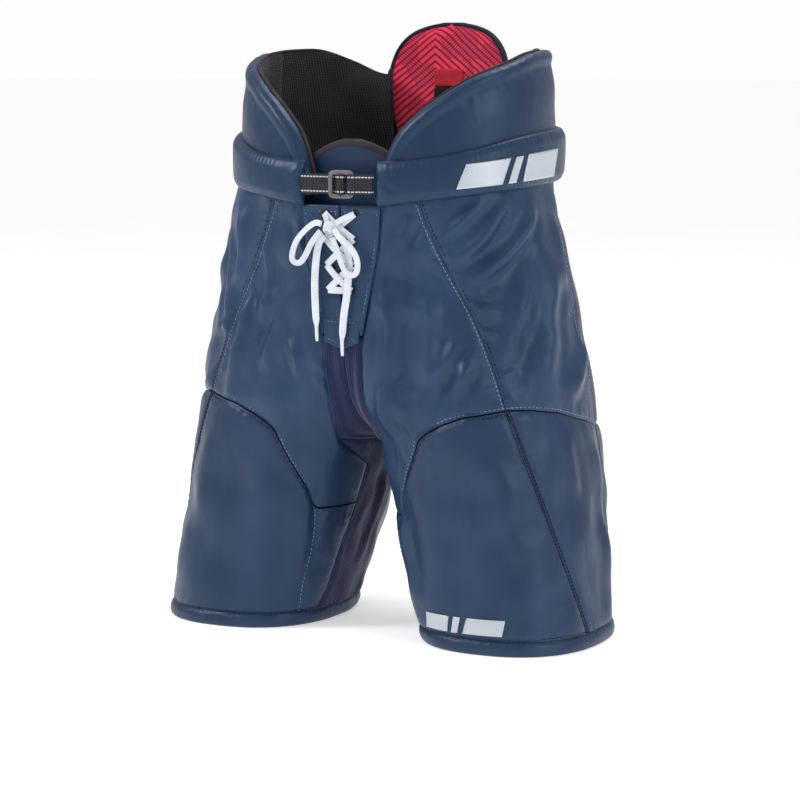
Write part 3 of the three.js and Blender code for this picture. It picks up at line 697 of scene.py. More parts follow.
def bend(obj, side):
    """Bakes the piece's transform into its mesh; the crotch points where the cloth would turn from the
    waist's motion to the leg's are worked out, but nothing bends.
    """
    start, end = (Vector((SIDES[side] * x, 0, height)) * MM for x, height in (BEND_START, BEND_END))
    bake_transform(obj)
    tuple(start)
    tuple(end)


# ---------------------------------------------------------------- laces

LACE_WIDTH = 7.2
LACE_THICK = 1.2
LOOP_WIDTH = 5.8  # the lace is folded a little where it turns in the bow

# Routes of the bow's loops and tails, as points (x, y, height).
LOOP_ROUTES = {
    "left": [
        (-0.6, -132.5, 399), (6, -133.4, 391), (15, -134, 384.5), (21.5, -134, 377.5), (25, -133.6, 368.5),
        (24, -133.2, 359.5), (19, -133, 355.8), (12.5, -133, 358.5), (7.5, -133, 366.5), (3, -133, 379),
        (-2.2, -132.8, 390.8),
    ],
    "right": [
        (-14.6, -131, 403.2), (-21.5, -132, 404), (-32, -133, 396.5), (-41, -133.2, 386),
        (-45.6, -133, 373.5), (-44.5, -132.6, 366.8), (-38, -132.4, 365.8), (-32, -132.6, 372),
        (-24.5, -133, 385), (-15, -132.6, 396.6),
    ],
}
TAIL_ROUTES = {
    "right": [
        (-13.4, -127.4, 392), (-18.5, -127.8, 386), (-21.5, -128, 375), (-23.5, -128, 357),
        (-24, -128, 340), (-24.3, -126.4, 324), (-24.6, -124, 307), (-24.6, -123.6, 303.4),
    ],
    "left": [
        (-0.4, -127.3, 393), (5.5, -127.8, 389), (10.5, -128, 381), (13, -128, 367), (12, -128, 350),
        (10, -127.4, 334), (6.4, -125.8, 318), (3.4, -123.8, 297), (3, -123.6, 290.6),
    ],
}
KNOT = (-8, -127.2, 399.5)
KNOT_UP = np.array([0.15, 0.25, 1])  # the way the knot's wrap stands
CROSSING_WIDTH = LACE_WIDTH * 0.92
EYELET_ROWS = [(16, 413), (15, 389), (14, 364), (12.5, 340)]  # (distance from the middle plane, height)
LACE_POINTS = 60  # points along a loop or a tail
TIP_POINTS = 14


def ribbon(name, line, facing, width=LACE_WIDTH, thick=LACE_THICK, around=12):
    """A flat lace along a line: at each point its width lies square to the line and to the way it faces."""
    line = np.array(line, float)
    tangent = directions(line)
    facing = square_to(tangent, np.broadcast_to(np.array(facing, float), line.shape))
    across = np.cross(tangent, facing)
    width = np.broadcast_to(width, len(line))
    rings = []
    for k in range(around):
        turn = math.tau * k / around
        flat = blunt(math.cos(turn), 0.55)
        rings.append(line + across * (flat * width / 2)[:, None] + facing * (math.sin(turn) * thick / 2))
    return tube_mesh(name, np.stack(rings, 1))


def twisting(count, lean):
    """Facing directions that start at the front and lean sideways by lean (x, z) parts along the way."""
    t = np.linspace(0, 1, count)
    return np.stack([np.sin(t * math.pi) * lean[0], -np.ones_like(t), np.sin(t * math.tau) * lean[1]], 1)


def lace_piece(obj):
    """Gives a piece of lace its looks and its body."""
    return finish_piece(obj, LACE, "lace_fabric", "waist")


def make_loops():
    """The two loops of the bow."""
    for side, route in LOOP_ROUTES.items():
        line = smooth_line(route, LACE_POINTS)
        name = f"lace_loop_{side}"
        loop = lace_piece(ribbon(name + "_piece", line, twisting(LACE_POINTS, (0.25, 0.35)), LOOP_WIDTH))
        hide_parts(name)
        path = to_frame(line)


def make_tails():
    """The two tails of the bow, which narrow into their tips."""
    for side, route in TAIL_ROUTES.items():
        line = smooth_line(route, LACE_POINTS)
        name = f"lace_tail_{side}"
        tip_name = f"lace_aglet_{side}"
        narrow = LACE_WIDTH * (1 - 0.45 * smoothstep(np.linspace(0, 1, LACE_POINTS), 0.9, 1))
        tail = lace_piece(ribbon(name + "_piece", line, twisting(LACE_POINTS, (0.3, 0.2)), narrow))
        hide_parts(name)
        x, y, top = line[-1]
        tip_route = [(x, y, top + 2), (x + 0.2, y, top - 6), (x + 0.5, y + 0.1, top - 13)]
        tip_width = 3.6 * (1 - 0.25 * smoothstep(np.linspace(0, 1, TIP_POINTS), 0.6, 1))
        tip_line = smooth_line(tip_route, TIP_POINTS)
        tip = ribbon(tip_name + "_piece", tip_line, (0, -1, 0), tip_width, 2.2)
        finish_piece(tip, TIP, "aglet_plastic", "waist")
        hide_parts(tip_name)
        path = to_frame(line)


def make_crossings():
    """The crossings between the eyelets, over and under, and the bar across the lowest pair."""
    across = np.linspace(-1, 1, 26)
    bulge = np.cos(across * math.pi / 2)
    for row, ((x, high), (next_x, low)) in enumerate(zip(EYELET_ROWS, EYELET_ROWS[1:]), 1):
        for letter, sign, forward in (("a", 1, 1.3), ("b", -1, 2.9)):
            sideways = np.interp(across, (-1, 1), (sign * x, -sign * next_x))
            height = np.interp(across, (-1, 1), (high, low))
            line = np.stack([sideways, -122.6 - forward * bulge, height], -1)
            lace_piece(ribbon(f"lace_crossing_{row}_{letter}", line, (0, -1, 0), CROSSING_WIDTH))
    x, height = EYELET_ROWS[-1]
    across = np.linspace(-1, 1, 20)
    line = np.stack([across * x, -122.4 - 1.2 * np.cos(across * math.pi / 2), height + 0 * across], -1)
    lace_piece(ribbon("lace_foot_bar", line, (0, -1, 0), CROSSING_WIDTH))


def make_knot():
    """The knot of the bow, and the two strands that run to it from the top eyelets."""
    x, height = EYELET_ROWS[0]
    cx, cy, cz = KNOT
    for side, sign in (("right", -1), ("left", 1)):
        eyelet = (sign * x, -122.8, height)
        halfway = ((sign * x + cx) / 2, -126.4, (height + cz) / 2 + 1)
        line = smooth_line([eyelet, halfway, (cx + sign * 2, -128, cz + 1)], 20)
        lace_piece(ribbon(f"lace_to_knot_{side}", line, (0, -1, 0.1), LACE_WIDTH * 0.8))
    turn = np.linspace(0, math.tau, 28, endpoint=False)
    cos, sin = np.cos(turn), np.sin(turn)
    ring = np.stack([cx + 4.6 * cos, cy - 0.4 - 4.14 * sin, cz + 2.2 * sin], -1)
    outward = unit(ring - [cx, cy - 0.4, cz])
    around = np.linspace(0, math.tau, 12, endpoint=False)
    wide, tall = 1.6 * np.cos(around), 4.8 * blunt(np.sin(around), 0.7)
    knot = lace_piece(loop_mesh("lace_knot", rings_round(ring, outward, unit(KNOT_UP), wide, tall)))
    slant = smooth_line([(cx - 4, cy, cz + 3), (cx, cy - 1.5, cz), (cx + 4, cy, cz - 3.5)], 12)
    lace_piece(ribbon("lace_knot_core", slant, (0, -1, 0), 6.5, 5))
    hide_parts("lace_crossings")


make_loops()
make_tails()
make_crossings()
make_knot()

# ---------------------------------------------------------------- the cloth panels of a half


def up_to_belt(angle):
    """The point behind the belt where a seam at an angle ends."""
    return (angle, float(belt_bottom(angle)) + SEAM_TOP)


def panel_top(start, end):
    """The top edge of a panel, behind the belt."""
    return [up_to_belt(float(angle)) for angle in np.linspace(start, end, 9)]


def beside(seam, shift, tall=0.0):
    """A line that runs beside a seam: shift is in degrees round the body, tall in mm up it."""
    return [(angle + shift, height + tall) for angle, height in seam]


def panel_outlines():
    """The four edges of each panel: each runs left to right, or bottom to top."""
    fly = front_edge(FLY_EDGE)
    side_up = [*SIDE_SEAM[::-1], up_to_belt(-65)]
    lower_side_up = LOWER_SIDE_SEAM[::-1]
    strip_front = [*STRIP_SEAM, up_to_belt(STRIP_TOP)]
    strip_back_top = STRIP_TOP + STRIP_WIDTH
    strip_back = [SEAT_BOTTOM[0], *beside(STRIP_SEAM[1:], STRIP_WIDTH), up_to_belt(strip_back_top)]
    middle_back = [(float(angle_at(CENTRE, h, True)), float(h)) for h in np.arange(206, 422, 4)]
    beside_crotch = [(-166, 122), (-169, 160), (float(angle_at(23, 189)), 189)]
    return {
        "front_panel": dict(
            bottom=[(-166, 121), *THIGH_SEAM], top=panel_top(fly[-1][0], -65),
            left=[*beside_crotch, *fly, up_to_belt(fly[-1][0])], right=side_up,
        ),
        "side_panel": dict(
            bottom=OUTER_THIGH_SEAM, top=panel_top(-65, STRIP_TOP), left=side_up, right=strip_front,
        ),
        "side_stretch_strip": dict(
            bottom=[STRIP_FOOT, SEAT_BOTTOM[0]], top=panel_top(STRIP_TOP, strip_back_top),
            left=strip_front, right=strip_back,
        ),
        "seat_panel": dict(
            bottom=[*SEAT_BOTTOM[:-1], middle_back[0]], top=panel_top(strip_back_top, 89.6),
            left=strip_back, right=[*middle_back, up_to_belt(89.6)],
        ),
        "thigh_panel": dict(
            bottom=[(-157, HEM_HEIGHT), (-11, HEM_HEIGHT)], top=[(-166, 121), *THIGH_SEAM],
            left=[(-157, HEM_HEIGHT), (-161, 37), (-162, 83), (-166, 121)], right=lower_side_up,
        ),
        "outer_leg_panel": dict(
            bottom=[(-11, HEM_HEIGHT), (30, HEM_HEIGHT)], top=OUTER_THIGH_SEAM, left=lower_side_up,
            right=BACK_LEG_SEAM,
        ),
        "back_leg_panel": dict(
            bottom=[(30, HEM_HEIGHT), (157, HEM_HEIGHT)], top=[STRIP_FOOT, *SEAT_BOTTOM, (146, 194)],
            left=BACK_LEG_SEAM, right=beside(BACK_INSEAM, 360),
        ),
        "inner_leg_gusset": dict(
            bottom=[(-203, HEM_HEIGHT), (-157, HEM_HEIGHT)],
            top=[(-212, 191), (-197, 186), (-180, 185), (-165, 186), beside_crotch[-1]], left=BACK_INSEAM,
            right=[*INSEAM, beside_crotch[-1]],
        ),
    }


def edge_steps(length, spacing):
    """Shares of a length from 0 to 1, close together near both ends."""
    near = np.array([0, 0.9, 2.2, 4.0])
    middle = np.linspace(4.0, length - 4.0, max(3, int(round((length - 8) / spacing)) + 1))
    return np.concatenate([near[:-1], middle, (length - near[:-1])[::-1]]) / length


def coons(outline, across, up):
    """The (angle, height) of a grid stretched between four edges."""
    low, high, near, far = (run(outline[key]) for key in ("bottom", "top", "left", "right"))
    u, v = across[None, :, None], up[:, None, None]
    b, t = low(across)[None], high(across)[None]
    l, r = near(up)[:, None], far(up)[:, None]
    corners = (1 - v) * ((1 - u) * low(0.0) + u * low(1.0)) + v * ((1 - u) * high(0.0) + u * high(1.0))
    spots = (1 - v) * b + v * t + (1 - u) * l + u * r - corners
    return spots[..., 0], spots[..., 1]


def unfolded(spots, rounds=300):
    """Moves the inner points of an (angle, height) grid until none of its cells folds over."""
    p = spots * [2, 1]
    for _ in range(rounds):
        du = (p[1:-1, 2:] - p[1:-1, :-2]) / 2
        dv = (p[2:, 1:-1] - p[:-2, 1:-1]) / 2
        across, up = (dv ** 2).sum(-1, keepdims=True), (du ** 2).sum(-1, keepdims=True)
        skew = (p[2:, 2:] - p[2:, :-2] - p[:-2, 2:] + p[:-2, :-2]) / 2 * (du * dv).sum(-1, keepdims=True)
        level = across * (p[1:-1, 2:] + p[1:-1, :-2])
        upright = up * (p[2:, 1:-1] + p[:-2, 1:-1])
        better = (level + upright - skew) / (2 * (across + up))
        p[1:-1, 1:-1] += 0.8 * (better - p[1:-1, 1:-1])
    return p / [2, 1]


def spread(outline, across, up):
    """The same grid as coons, for an outline with an inward corner, where that grid would fold over."""
    even = np.linspace(0, 1, 61)
    spots = unfolded(np.stack(coons(outline, even, even), -1))
    rows = np.stack([[np.interp(across, even, row[:, k]) for k in (0, 1)] for row in spots])
    columns = range(len(across))
    grid = np.stack([[np.interp(up, even, rows[:, k, column]) for k in (0, 1)] for column in columns])
    grid = grid.transpose(2, 0, 1)
    off = np.stack(coons(outline, across, up), -1) - grid
    u, v = across[None, :, None], up[:, None, None]
    grid = grid + (1 - u) * off[:, :1] + u * off[:, -1:] + (1 - v) * off[:1] + v * off[-1:]
    return grid[..., 0], grid[..., 1]


class Panel:
    """One panel of one half as a grid of points, with each point's distances from the panel's edges."""

    def __init__(self, name, side, outline):
        self.name, self.side = name, side
        rough_angle, rough_height = coons(outline, np.linspace(0, 1, 9), np.linspace(0, 1, 9))
        rough = body_point(rough_angle, rough_height)
        width = max(line_length(rough[k]) for k in (0, 4, 8))
        tall = max(line_length(rough[:, k]) for k in (0, 4, 8))
        fill = spread if name == "front_panel" else coons
        self.angle, self.height = fill(outline, edge_steps(width, GRID), edge_steps(tall, GRID))
        self.flat = body_point(self.angle, self.height)
        self.normal = grid_normals(self.flat)
        outward = np.mean((self.normal * (self.flat - [100, 0, 0])).sum(-1))  # away from the thigh's middle
        if outward < 0 and name != "inner_leg_gusset":
            self.normal = -self.normal
        self.size = (width, tall)
        along, up = lengths_along(self.flat, 1), lengths_along(self.flat, 0)
        self.edges = [  # left, right, bottom and top: (distance from the edge, position along it)
            (along, up), (along[:, -1:] - along, up), (up, along), (up[-1:] - up, along),
        ]
        self.edge_distance = np.minimum.reduce([distance for distance, _ in self.edges])
        self.rise = np.zeros(self.angle.shape)
        self.moved = np.zeros(self.flat.shape)


def ripple(points, seed, size, count=7):
    """A smooth random wave over points, between about -1 and 1; size is the wave length in mm."""
    random = np.random.default_rng(seed)
    total = np.zeros(points.shape[:-1])
    for _ in range(count):
        direction = random.normal(size=3)
        direction /= np.linalg.norm(direction)
        length = size * random.uniform(0.7, 1.5)
        total += np.sin(points @ direction * math.tau / length + random.uniform(0, math.tau))
    return total / math.sqrt(count)


# Folds of the cloth: (angle, height) points along the fold, height of the ridge, its width and the depth of
# the valley beside it, in mm. The two halves hang differently.
FOLDS = {
    "left": {
        "side_panel": [
            ([(-22, 427), (-28, 420), (-38, 396), (-46, 380), (-58, 366)], 4.2, 7, 2.6),
            ([(-8, 424), (-23, 387), (-38, 364), (-54, 347)], 4.6, 9, 3.0),
            ([(-36, 424), (-44, 414), (-56, 390)], 3.0, 6, 1.8),
            ([(-57, 329), (-48, 326), (-38, 318)], 2.4, 6, 1.8),
            ([(-55, 307), (-49, 305), (-42, 298)], 2.0, 5, 1.5),
            ([(-52, 255), (-46, 262), (-36, 270)], 2.0, 6, 1.4),
            ([(-20, 368), (-32, 318), (-50, 256)], 3.2, 13, 2.2),
            ([(-6, 372), (-16, 310), (-32, 236)], 3.0, 15, 2.0),
            ([(6, 420), (2, 380), (-4, 330)], 2.6, 12, 1.6),
            ([(10, 300), (0, 262), (-14, 232)], 2.4, 11, 1.6),
        ],
        "front_panel": [
            ([(-80, 345), (-83, 300), (-95, 248), (-112, 206)], 3.4, 9, 2.6),
            ([(-64, 350), (-70, 301), (-80, 252), (-94, 212)], 3.2, 10, 2.4),
            ([(-60, 300), (-68, 276), (-80, 254)], 2.2, 7, 1.6),
            ([(-58, 279), (-66, 258), (-76, 238)], 2.0, 7, 1.4),
            ([(-75, 418), (-79, 398), (-80, 372)], 2.0, 6, 1.4),
            ([(-66, 415), (-70, 396), (-72, 380)], 2.0, 7, 1.4),
            ([(-98, 240), (-106, 222), (-118, 198)], 2.0, 7, 1.4),
        ],
        "seat_panel": [
            ([(60, 410), (66, 350), (80, 290), (96, 240)], 3.4, 12, 2.2),
            ([(76, 412), (80, 360), (90, 310)], 2.6, 10, 1.8),
            ([(56, 300), (70, 268), (92, 240), (112, 226)], 3.2, 11, 2.2),
            ([(54, 250), (72, 232), (96, 224)], 2.4, 8, 1.8),
        ],
        "thigh_panel": [
            ([(-60, 200), (-62, 140), (-58, 70)], 1.6, 18, 0.8),
            ([(-100, 170), (-104, 120), (-100, 60)], 1.5, 18, 0.8),
            ([(-130, 130), (-132, 90), (-128, 40)], 1.6, 12, 1.0),
        ],
        "back_leg_panel": [
            ([(50, 190), (60, 120), (56, 50)], 2.4, 16, 1.6),
            ([(84, 200), (90, 130), (88, 60)], 2.2, 16, 1.4),
            ([(120, 190), (118, 120), (124, 50)], 2.4, 14, 1.6),
        ],
        "outer_leg_panel": [
            ([(4, 205), (8, 130), (10, 50)], 2.0, 12, 1.4),
            ([(-20, 200), (-12, 140)], 1.8, 9, 1.2),
        ],
        "inner_leg_gusset": [([(-186, 170), (-184, 110), (-182, 40)], 2.0, 9, 1.4)],
    },
    "right": {
        "side_panel": [
            ([(-40, 420), (-44, 396), (-46, 360), (-46, 320)], 3.2, 9, 2.2),
            ([(-20, 420), (-30, 370), (-44, 322), (-52, 250)], 3.4, 12, 2.4),
            ([(-6, 424), (-14, 370), (-20, 310)], 3.0, 13, 2.0),
            ([(8, 330), (-4, 280), (-24, 236)], 2.8, 12, 1.8),
            ([(-52, 300), (-44, 296), (-36, 286)], 2.0, 6, 1.4),
        ],
        "front_panel": [
            ([(-58, 345), (-60, 300), (-66, 243), (-72, 226)], 3.4, 9, 2.6),
            ([(-76, 325), (-76, 298), (-78, 269), (-83, 250)], 3.0, 8, 2.2),
            ([(-61, 390), (-64, 350), (-68, 296)], 2.6, 9, 1.8),
            ([(-50, 400), (-54, 366), (-57, 336)], 2.2, 7, 1.6),
            ([(-92, 270), (-102, 262), (-110, 246)], 1.8, 5, 1.4),
            ([(-100, 254), (-108, 243), (-118, 226)], 1.8, 6, 1.4),
            ([(-82, 290), (-88, 274), (-92, 252)], 2.0, 6, 1.5),
            ([(-74, 415), (-77, 396), (-76, 372)], 2.0, 7, 1.4),
        ],
        "seat_panel": [
            ([(58, 408), (62, 356), (74, 300), (90, 246)], 3.2, 12, 2.2),
            ([(78, 414), (82, 350), (92, 300)], 2.8, 11, 1.8),
            ([(56, 286), (74, 252), (98, 232), (116, 222)], 3.2, 11, 2.2),
        ],
        "thigh_panel": [
            ([(-64, 205), (-66, 150), (-62, 80)], 1.6, 18, 0.8),
            ([(-98, 180), (-100, 120), (-104, 60)], 1.5, 18, 0.8),
            ([(-128, 130), (-130, 90), (-134, 40)], 1.8, 12, 1.0),
        ],
        "back_leg_panel": [
            ([(46, 190), (54, 120), (60, 50)], 2.4, 16, 1.6),
            ([(90, 205), (86, 130), (92, 60)], 2.2, 16, 1.4),
            ([(124, 190), (122, 120), (118, 50)], 2.4, 14, 1.6),
        ],
        "outer_leg_panel": [([(6, 205), (4, 130), (12, 50)], 2.0, 12, 1.4)],
        "inner_leg_gusset": [([(-184, 170), (-186, 110), (-180, 40)], 2.0, 9, 1.4)],
    },
}


# How much a panel's folds are raised and how wide they lie, where that isn't the usual 1.7 and 0.85.
FOLD_SHARES = {"front_panel": (1.6, 0.95)}
FOLD_POINTS = 60


def fold_height(panel, spots, ridge, width, valley):
    """The rise of a fold at each point of a panel: a ridge along the line with a valley beside it."""
    line = smooth_line(spots, FOLD_POINTS)
    points = body_point(line[:, 0], line[:, 1])
    tangent = directions(points)
    grid = panel.flat.reshape(-1, 3)
    gaps = grid[:, None] - points[None]
    far = np.linalg.norm(gaps, axis=-1)
    nearest = far.argmin(1)
    row = np.arange(len(grid))
    gap = gaps[row, nearest]
    along = (gap * tangent[nearest]).sum(-1)
    sideways = np.linalg.norm(gap - along[:, None] * tangent[nearest], axis=1)
    turn = np.cross(panel.normal.reshape(-1, 3), tangent[nearest])
    signed = sideways * np.sign((gap * turn).sum(-1))
    t = nearest / (FOLD_POINTS - 1)
    taper = smoothstep(t, 0, 0.3) * (1 - smoothstep(t, 0.65, 1)) * bell(along, 1.4 * width)
    strong, wide = FOLD_SHARES.get(panel.name, (1.7, 0.85))
    ridge, valley, width = strong * ridge, 0.85 * strong * valley, wide * width
    rise = ridge * np.exp(-np.abs(signed / width) ** 1.6)
    dip = valley * bell(signed - 1.5 * width, 0.8 * width)
    dip += 0.5 * valley * bell(signed + 1.6 * width, 0.9 * width)
    return (taper * (rise - dip)).reshape(panel.angle.shape)


CLOTH_FRAMES = 26
MOST_MOVED = 6.5  # the furthest a point of the cloth may move, in mm
CLOTH_SETTINGS = {
    "quality": 6, "mass": 0.3, "tension_stiffness": 22, "compression_stiffness": 22, "shear_stiffness": 8,
    "bending_stiffness": 0.6, "vertex_group_mass": "pinned", "shrink_min": -0.06, "air_damping": 6,
}


def simulate(panels):
    """Lets the panels' cloth, cut a little too large, settle from a small outward push between its pinned
    seams.
    """
    points, faces, spans, start = [], [], [], 0
    for panel in panels:
        rows, columns = panel.angle.shape
        points.append(panel.flat.reshape(-1, 3) + 0.01 * panel.normal.reshape(-1, 3))
        faces += list(grid_faces(rows, columns, start))
        spans.append((start, start + rows * columns))
        start += rows * columns
    rest = np.concatenate(points)
    facing = np.concatenate([panel.normal.reshape(-1, 3) for panel in panels])
    scale = 1 / 100  # the cloth solver behaves best at about this scale, with 1 unit for 100 mm
    mesh = bpy.data.meshes.new("cloth work")
    mesh.from_pydata((rest * scale).tolist(), [], faces)
    work = bpy.data.objects.new("cloth work", mesh)
    bpy.context.scene.collection.objects.link(work)
    pinned = work.vertex_groups.new(name="pinned")
    held = np.concatenate([(panel.edge_distance < 0.3).ravel() for panel in panels])
    pinned.add(np.nonzero(held)[0].tolist(), 1.0, "REPLACE")
    cloth = work.modifiers.new("Cloth", "CLOTH")
    for setting, value in CLOTH_SETTINGS.items():
        setattr(cloth.settings, setting, value)
    cloth.settings.effector_weights.gravity = 0
    cloth.collision_settings.use_collision = False
    cloth.point_cache.frame_start = 1
    cloth.point_cache.frame_end = CLOTH_FRAMES
    random = np.random.default_rng(5)
    push = 0.012 * ripple(rest, 11, 46) + 0.004 * random.normal(size=len(rest))
    nudged = rest * scale + facing * np.where(held, 0, push)[:, None]
    mesh.vertices.foreach_set("co", nudged.astype(np.float32).ravel())
    scene = bpy.context.scene
    for step in range(1, CLOTH_FRAMES + 1):
        scene.frame_set(step)
    graph = bpy.context.evaluated_depsgraph_get()
    settled = work.evaluated_get(graph).data
    found = np.empty(len(rest) * 3, np.float32)
    settled.vertices.foreach_get("co", found)
    moved = found.reshape(-1, 3).astype(float) / scale - rest
    bpy.data.objects.remove(work)
    bpy.data.meshes.remove(mesh)
    scene.frame_set(1)
    length = np.linalg.norm(moved, axis=1, keepdims=True)
    moved *= np.minimum(1, MOST_MOVED / np.maximum(length, 1e-6))
    moved[~np.isfinite(moved).all(1)] = 0
    for panel, (low, high) in zip(panels, spans):
        panel.moved = drawn_upright(moved[low:high].reshape(panel.flat.shape)) * SLACK[panel.name]


def drawn_upright(moved):
    """Draws the cloth's small bumps out along the body into long upright folds."""
    reach = np.arange(-7, 8)
    weights = np.exp(-((reach / 3.6) ** 2))
    padded = np.pad(moved, ((7, 7), (0, 0), (0, 0)), mode="edge")
    tall = sum(w * padded[7 + r:len(moved) + 7 + r] for r, w in zip(reach, weights)) / weights.sum()
    padded = np.pad(tall, ((0, 0), (1, 1), (0, 0)), mode="edge")
    return 0.25 * padded[:, :-2] + 0.5 * padded[:, 1:-1] + 0.25 * padded[:, 2:]


# How much of the simulated movement each panel keeps: the guards hold the thighs smooth.
SLACK = {
    "front_panel": 0.9, "side_panel": 0.9, "side_stretch_strip": 0.5, "seat_panel": 0.9,
    "thigh_panel": 0.45, "outer_leg_panel": 0.6, "back_leg_panel": 0.8, "inner_leg_gusset": 0.8,
}
# How far each panel stands out between its seams, in mm.
PUFF = {
    "front_panel": 1.6, "side_panel": 2.0, "side_stretch_strip": 0.6, "seat_panel": 2.0,
    "thigh_panel": 2.6, "outer_leg_panel": 2.2, "back_leg_panel": 2.2, "inner_leg_gusset": 1.0,
}
# The edge of a panel that is not sewn beside the crotch, where front and thigh are one piece of cloth.
UNSEWN = {"front_panel": 2, "thigh_panel": 3}
DEEPEST = 1.8  # how far the cloth may lie behind the body surface, in mm


def sewn_distance(panel):
    """The distance of each point from the nearest edge that is a real seam."""
    if panel.name not in UNSEWN:
        return panel.edge_distance
    others = [distance for k, (distance, _) in enumerate(panel.edges) if k != UNSEWN[panel.name]]
    one_cloth = 1 - smoothstep(panel.angle, -142, -134)
    return panel.edge_distance + one_cloth * (np.minimum.reduce(others) - panel.edge_distance)


def thigh_details(panel, seed):
    """The groove along the seam inside the thigh and the gathers below the panel's top seam."""
    seam = smooth_line(THIGH_INNER_SEAM, 80)
    gap = panel.flat[..., None, :] - body_point(seam[:, 0], seam[:, 1])
    below, along = panel.edges[3]
    gathers = np.sin(along * math.tau / 9 + 2.4 * ripple(panel.flat, seed + 17, 60, 3))
    return 0.75 * gathers * bell(below - 8, 12) - 1.9 * bell(np.linalg.norm(gap, axis=-1).min(-1), 3)


def raise_panel(panel, seed):
    """The fullness, seam puckers and folds of one panel."""
    puff = PUFF[panel.name]
    sewn = sewn_distance(panel)
    rise = -0.7 + (0.7 + puff * 0.55) * smoothstep(sewn, 0, 7)
    rise += 0.45 * puff * smoothstep(sewn, 5, 45)
    for k, (distance, position) in enumerate(panel.edges):
        if UNSEWN.get(panel.name) == k:
            distance = distance + 20 * (1 - smoothstep(panel.angle, -142, -134))
        wobble = 2.2 * ripple(panel.flat, seed + k, 70, 3)
        pucker = np.sin(position * math.tau / 8.5 + wobble)
        pucker += 0.5 * np.sin(position * math.tau / 13.7 + 2 * wobble)
        rise += 0.42 * pucker * bell(distance - 4, 7) * smoothstep(distance, 0.5, 4)
    rise += 0.5 * ripple(panel.flat, seed + 9, 38) * smoothstep(panel.edge_distance, 2, 18)
    if panel.name == "thigh_panel":
        rise += thigh_details(panel, seed)
    for spots, ridge, width, valley in FOLDS[panel.side].get(panel.name, []):
        rise += fold_height(panel, spots, ridge, width, valley) * smoothstep(panel.edge_distance, 0, 8)
    panel.rise = np.maximum(rise, -2.0)


# The material of each panel and its slot of the record.
CLOTH_LOOKS = {
    "front_panel": (BODY, "body_nylon"),
    "side_panel": (BODY, "body_nylon"),
    "seat_panel": (BODY, "body_nylon"),
    "side_stretch_strip": (STRIP, "stretch_knit"),
    "thigh_panel": (LEG, "body_nylon"),
    "outer_leg_panel": (LEG, "body_nylon"),
    "back_leg_panel": (LEG, "body_nylon"),
    "inner_leg_gusset": (KNIT, "stretch_knit"),
}


def panel_surface(panel):
    """The outer surface of a finished panel: the simulated cloth and the folds together."""
    drift = panel.moved * smoothstep(panel.edge_distance, 0, 5)[..., None]
    outward = (drift * panel.normal).sum(-1)
    lifted = np.maximum(panel.rise + outward, -DEEPEST) - outward
    return panel.flat + drift + panel.normal * lifted[..., None]


def make_panels():
    """The cloth panels of both halves, settled together and then raised one by one."""
    outlines = panel_outlines()
    panels = [Panel(name, side, outline) for side in SIDES for name, outline in outlines.items()]
    simulate(panels)
    for seed, panel in enumerate(panels):
        raise_panel(panel, 40 * seed + 3)
        surface = panel_surface(panel)
        follow = np.minimum(0.6 * panel.rise, 3) * smoothstep(panel.edge_distance, 4, 12)
        inner = panel.flat + panel.normal * (follow - PANEL_THICK)[..., None]
        piece = slab(f"{panel.side}_{panel.name}_cloth", surface, inner, SIDES[panel.side])
        material, slot = CLOTH_LOOKS[panel.name]
        finish_piece(piece, material, slot, smooth=1)
        bend(piece, panel.side)
        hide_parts(f"{panel.side}_{panel.name}")
        width, tall = (s * MM for s in panel.size)
    return {(panel.side, panel.name): panel for panel in panels}


def make_liners():
    """The dark lining of each half, behind its panels, open at the waist and at the hem."""
    heights = np.concatenate([np.linspace(6, 180, 30), np.linspace(184, 240, 20), np.linspace(248, 436, 26)])
    share = np.linspace(0, 1, 110)
    for side, sign in SIDES.items():
        first = angle_at(0.1, heights)
        angle = first[:, None] * (1 - 2 * share[None])
        highest = 409 + 27 * smoothstep(np.abs(np.abs(angle) - 90), 11, 18)
        height = np.minimum(heights[:, None], highest)
        height = height + np.arange(len(heights))[:, None] * 0.02
        soft = 0.5 * ripple(body_point(angle, height), 77 + sign, 60)
        outer = body_point(angle, height, -3.3)
        inner = body_point(angle, height, -5.2 + soft)
        liner = slab(f"{side}_liner", outer, inner, sign)
        finish_piece(liner, INNER, "mesh_lining")
        bend(liner, side)


make_liners()
PANELS = make_panels()

# ---------------------------------------------------------------- hems, guards and the crotch gusset


def rounded_rim(distance, roll, least=0.12):
    """The share of full thickness at a distance from an edge that is rolled to a radius."""
    t = np.clip(distance / roll, 0, 1)
    return least + (1 - least) * np.sqrt(1 - (1 - t) ** 2)


def make_hems():
    """A rolled hem round the foot of each leg, gathered by its line of stitches."""
    angles = np.linspace(0, 360, 240, endpoint=False)
    turn = np.radians(angles)
    # Round the section: (height, distance out), down the outside and up the inside.
    section = [
        (14.6, -1.5), (14.2, 0.2), (13.2, 0.3), (11.8, 1.5), (9, 2.3), (5.5, 2.3), (2.4, 1.4), (0.7, -0.1),
        (0, -1.8), (0, -3.2), (1.2, -4.9), (4, -5.6), (9, -5.6), (13, -5.4), (14.4, -4.4), (14.8, -3),
    ]
    for side, sign in SIDES.items():
        rings = []
        for height, out in section:
            gathers = np.sin(turn * 86 + 1.5 * np.sin(turn * 7 + sign)) * bell(height - 11, 3)
            puff = 0.32 * gathers + 0.25 * np.sin(turn * 19 + height)
            rings.append(body_point(angles, np.full(angles.shape, float(height)), out + puff * (out > -1)))
        hem = loop_mesh(f"{side}_hem_roll", np.stack(rings, 1), sign)
        finish_piece(hem, LEG, "body_nylon", smooth=1)
        bend(hem, side)
        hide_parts(f"{side}_hem")


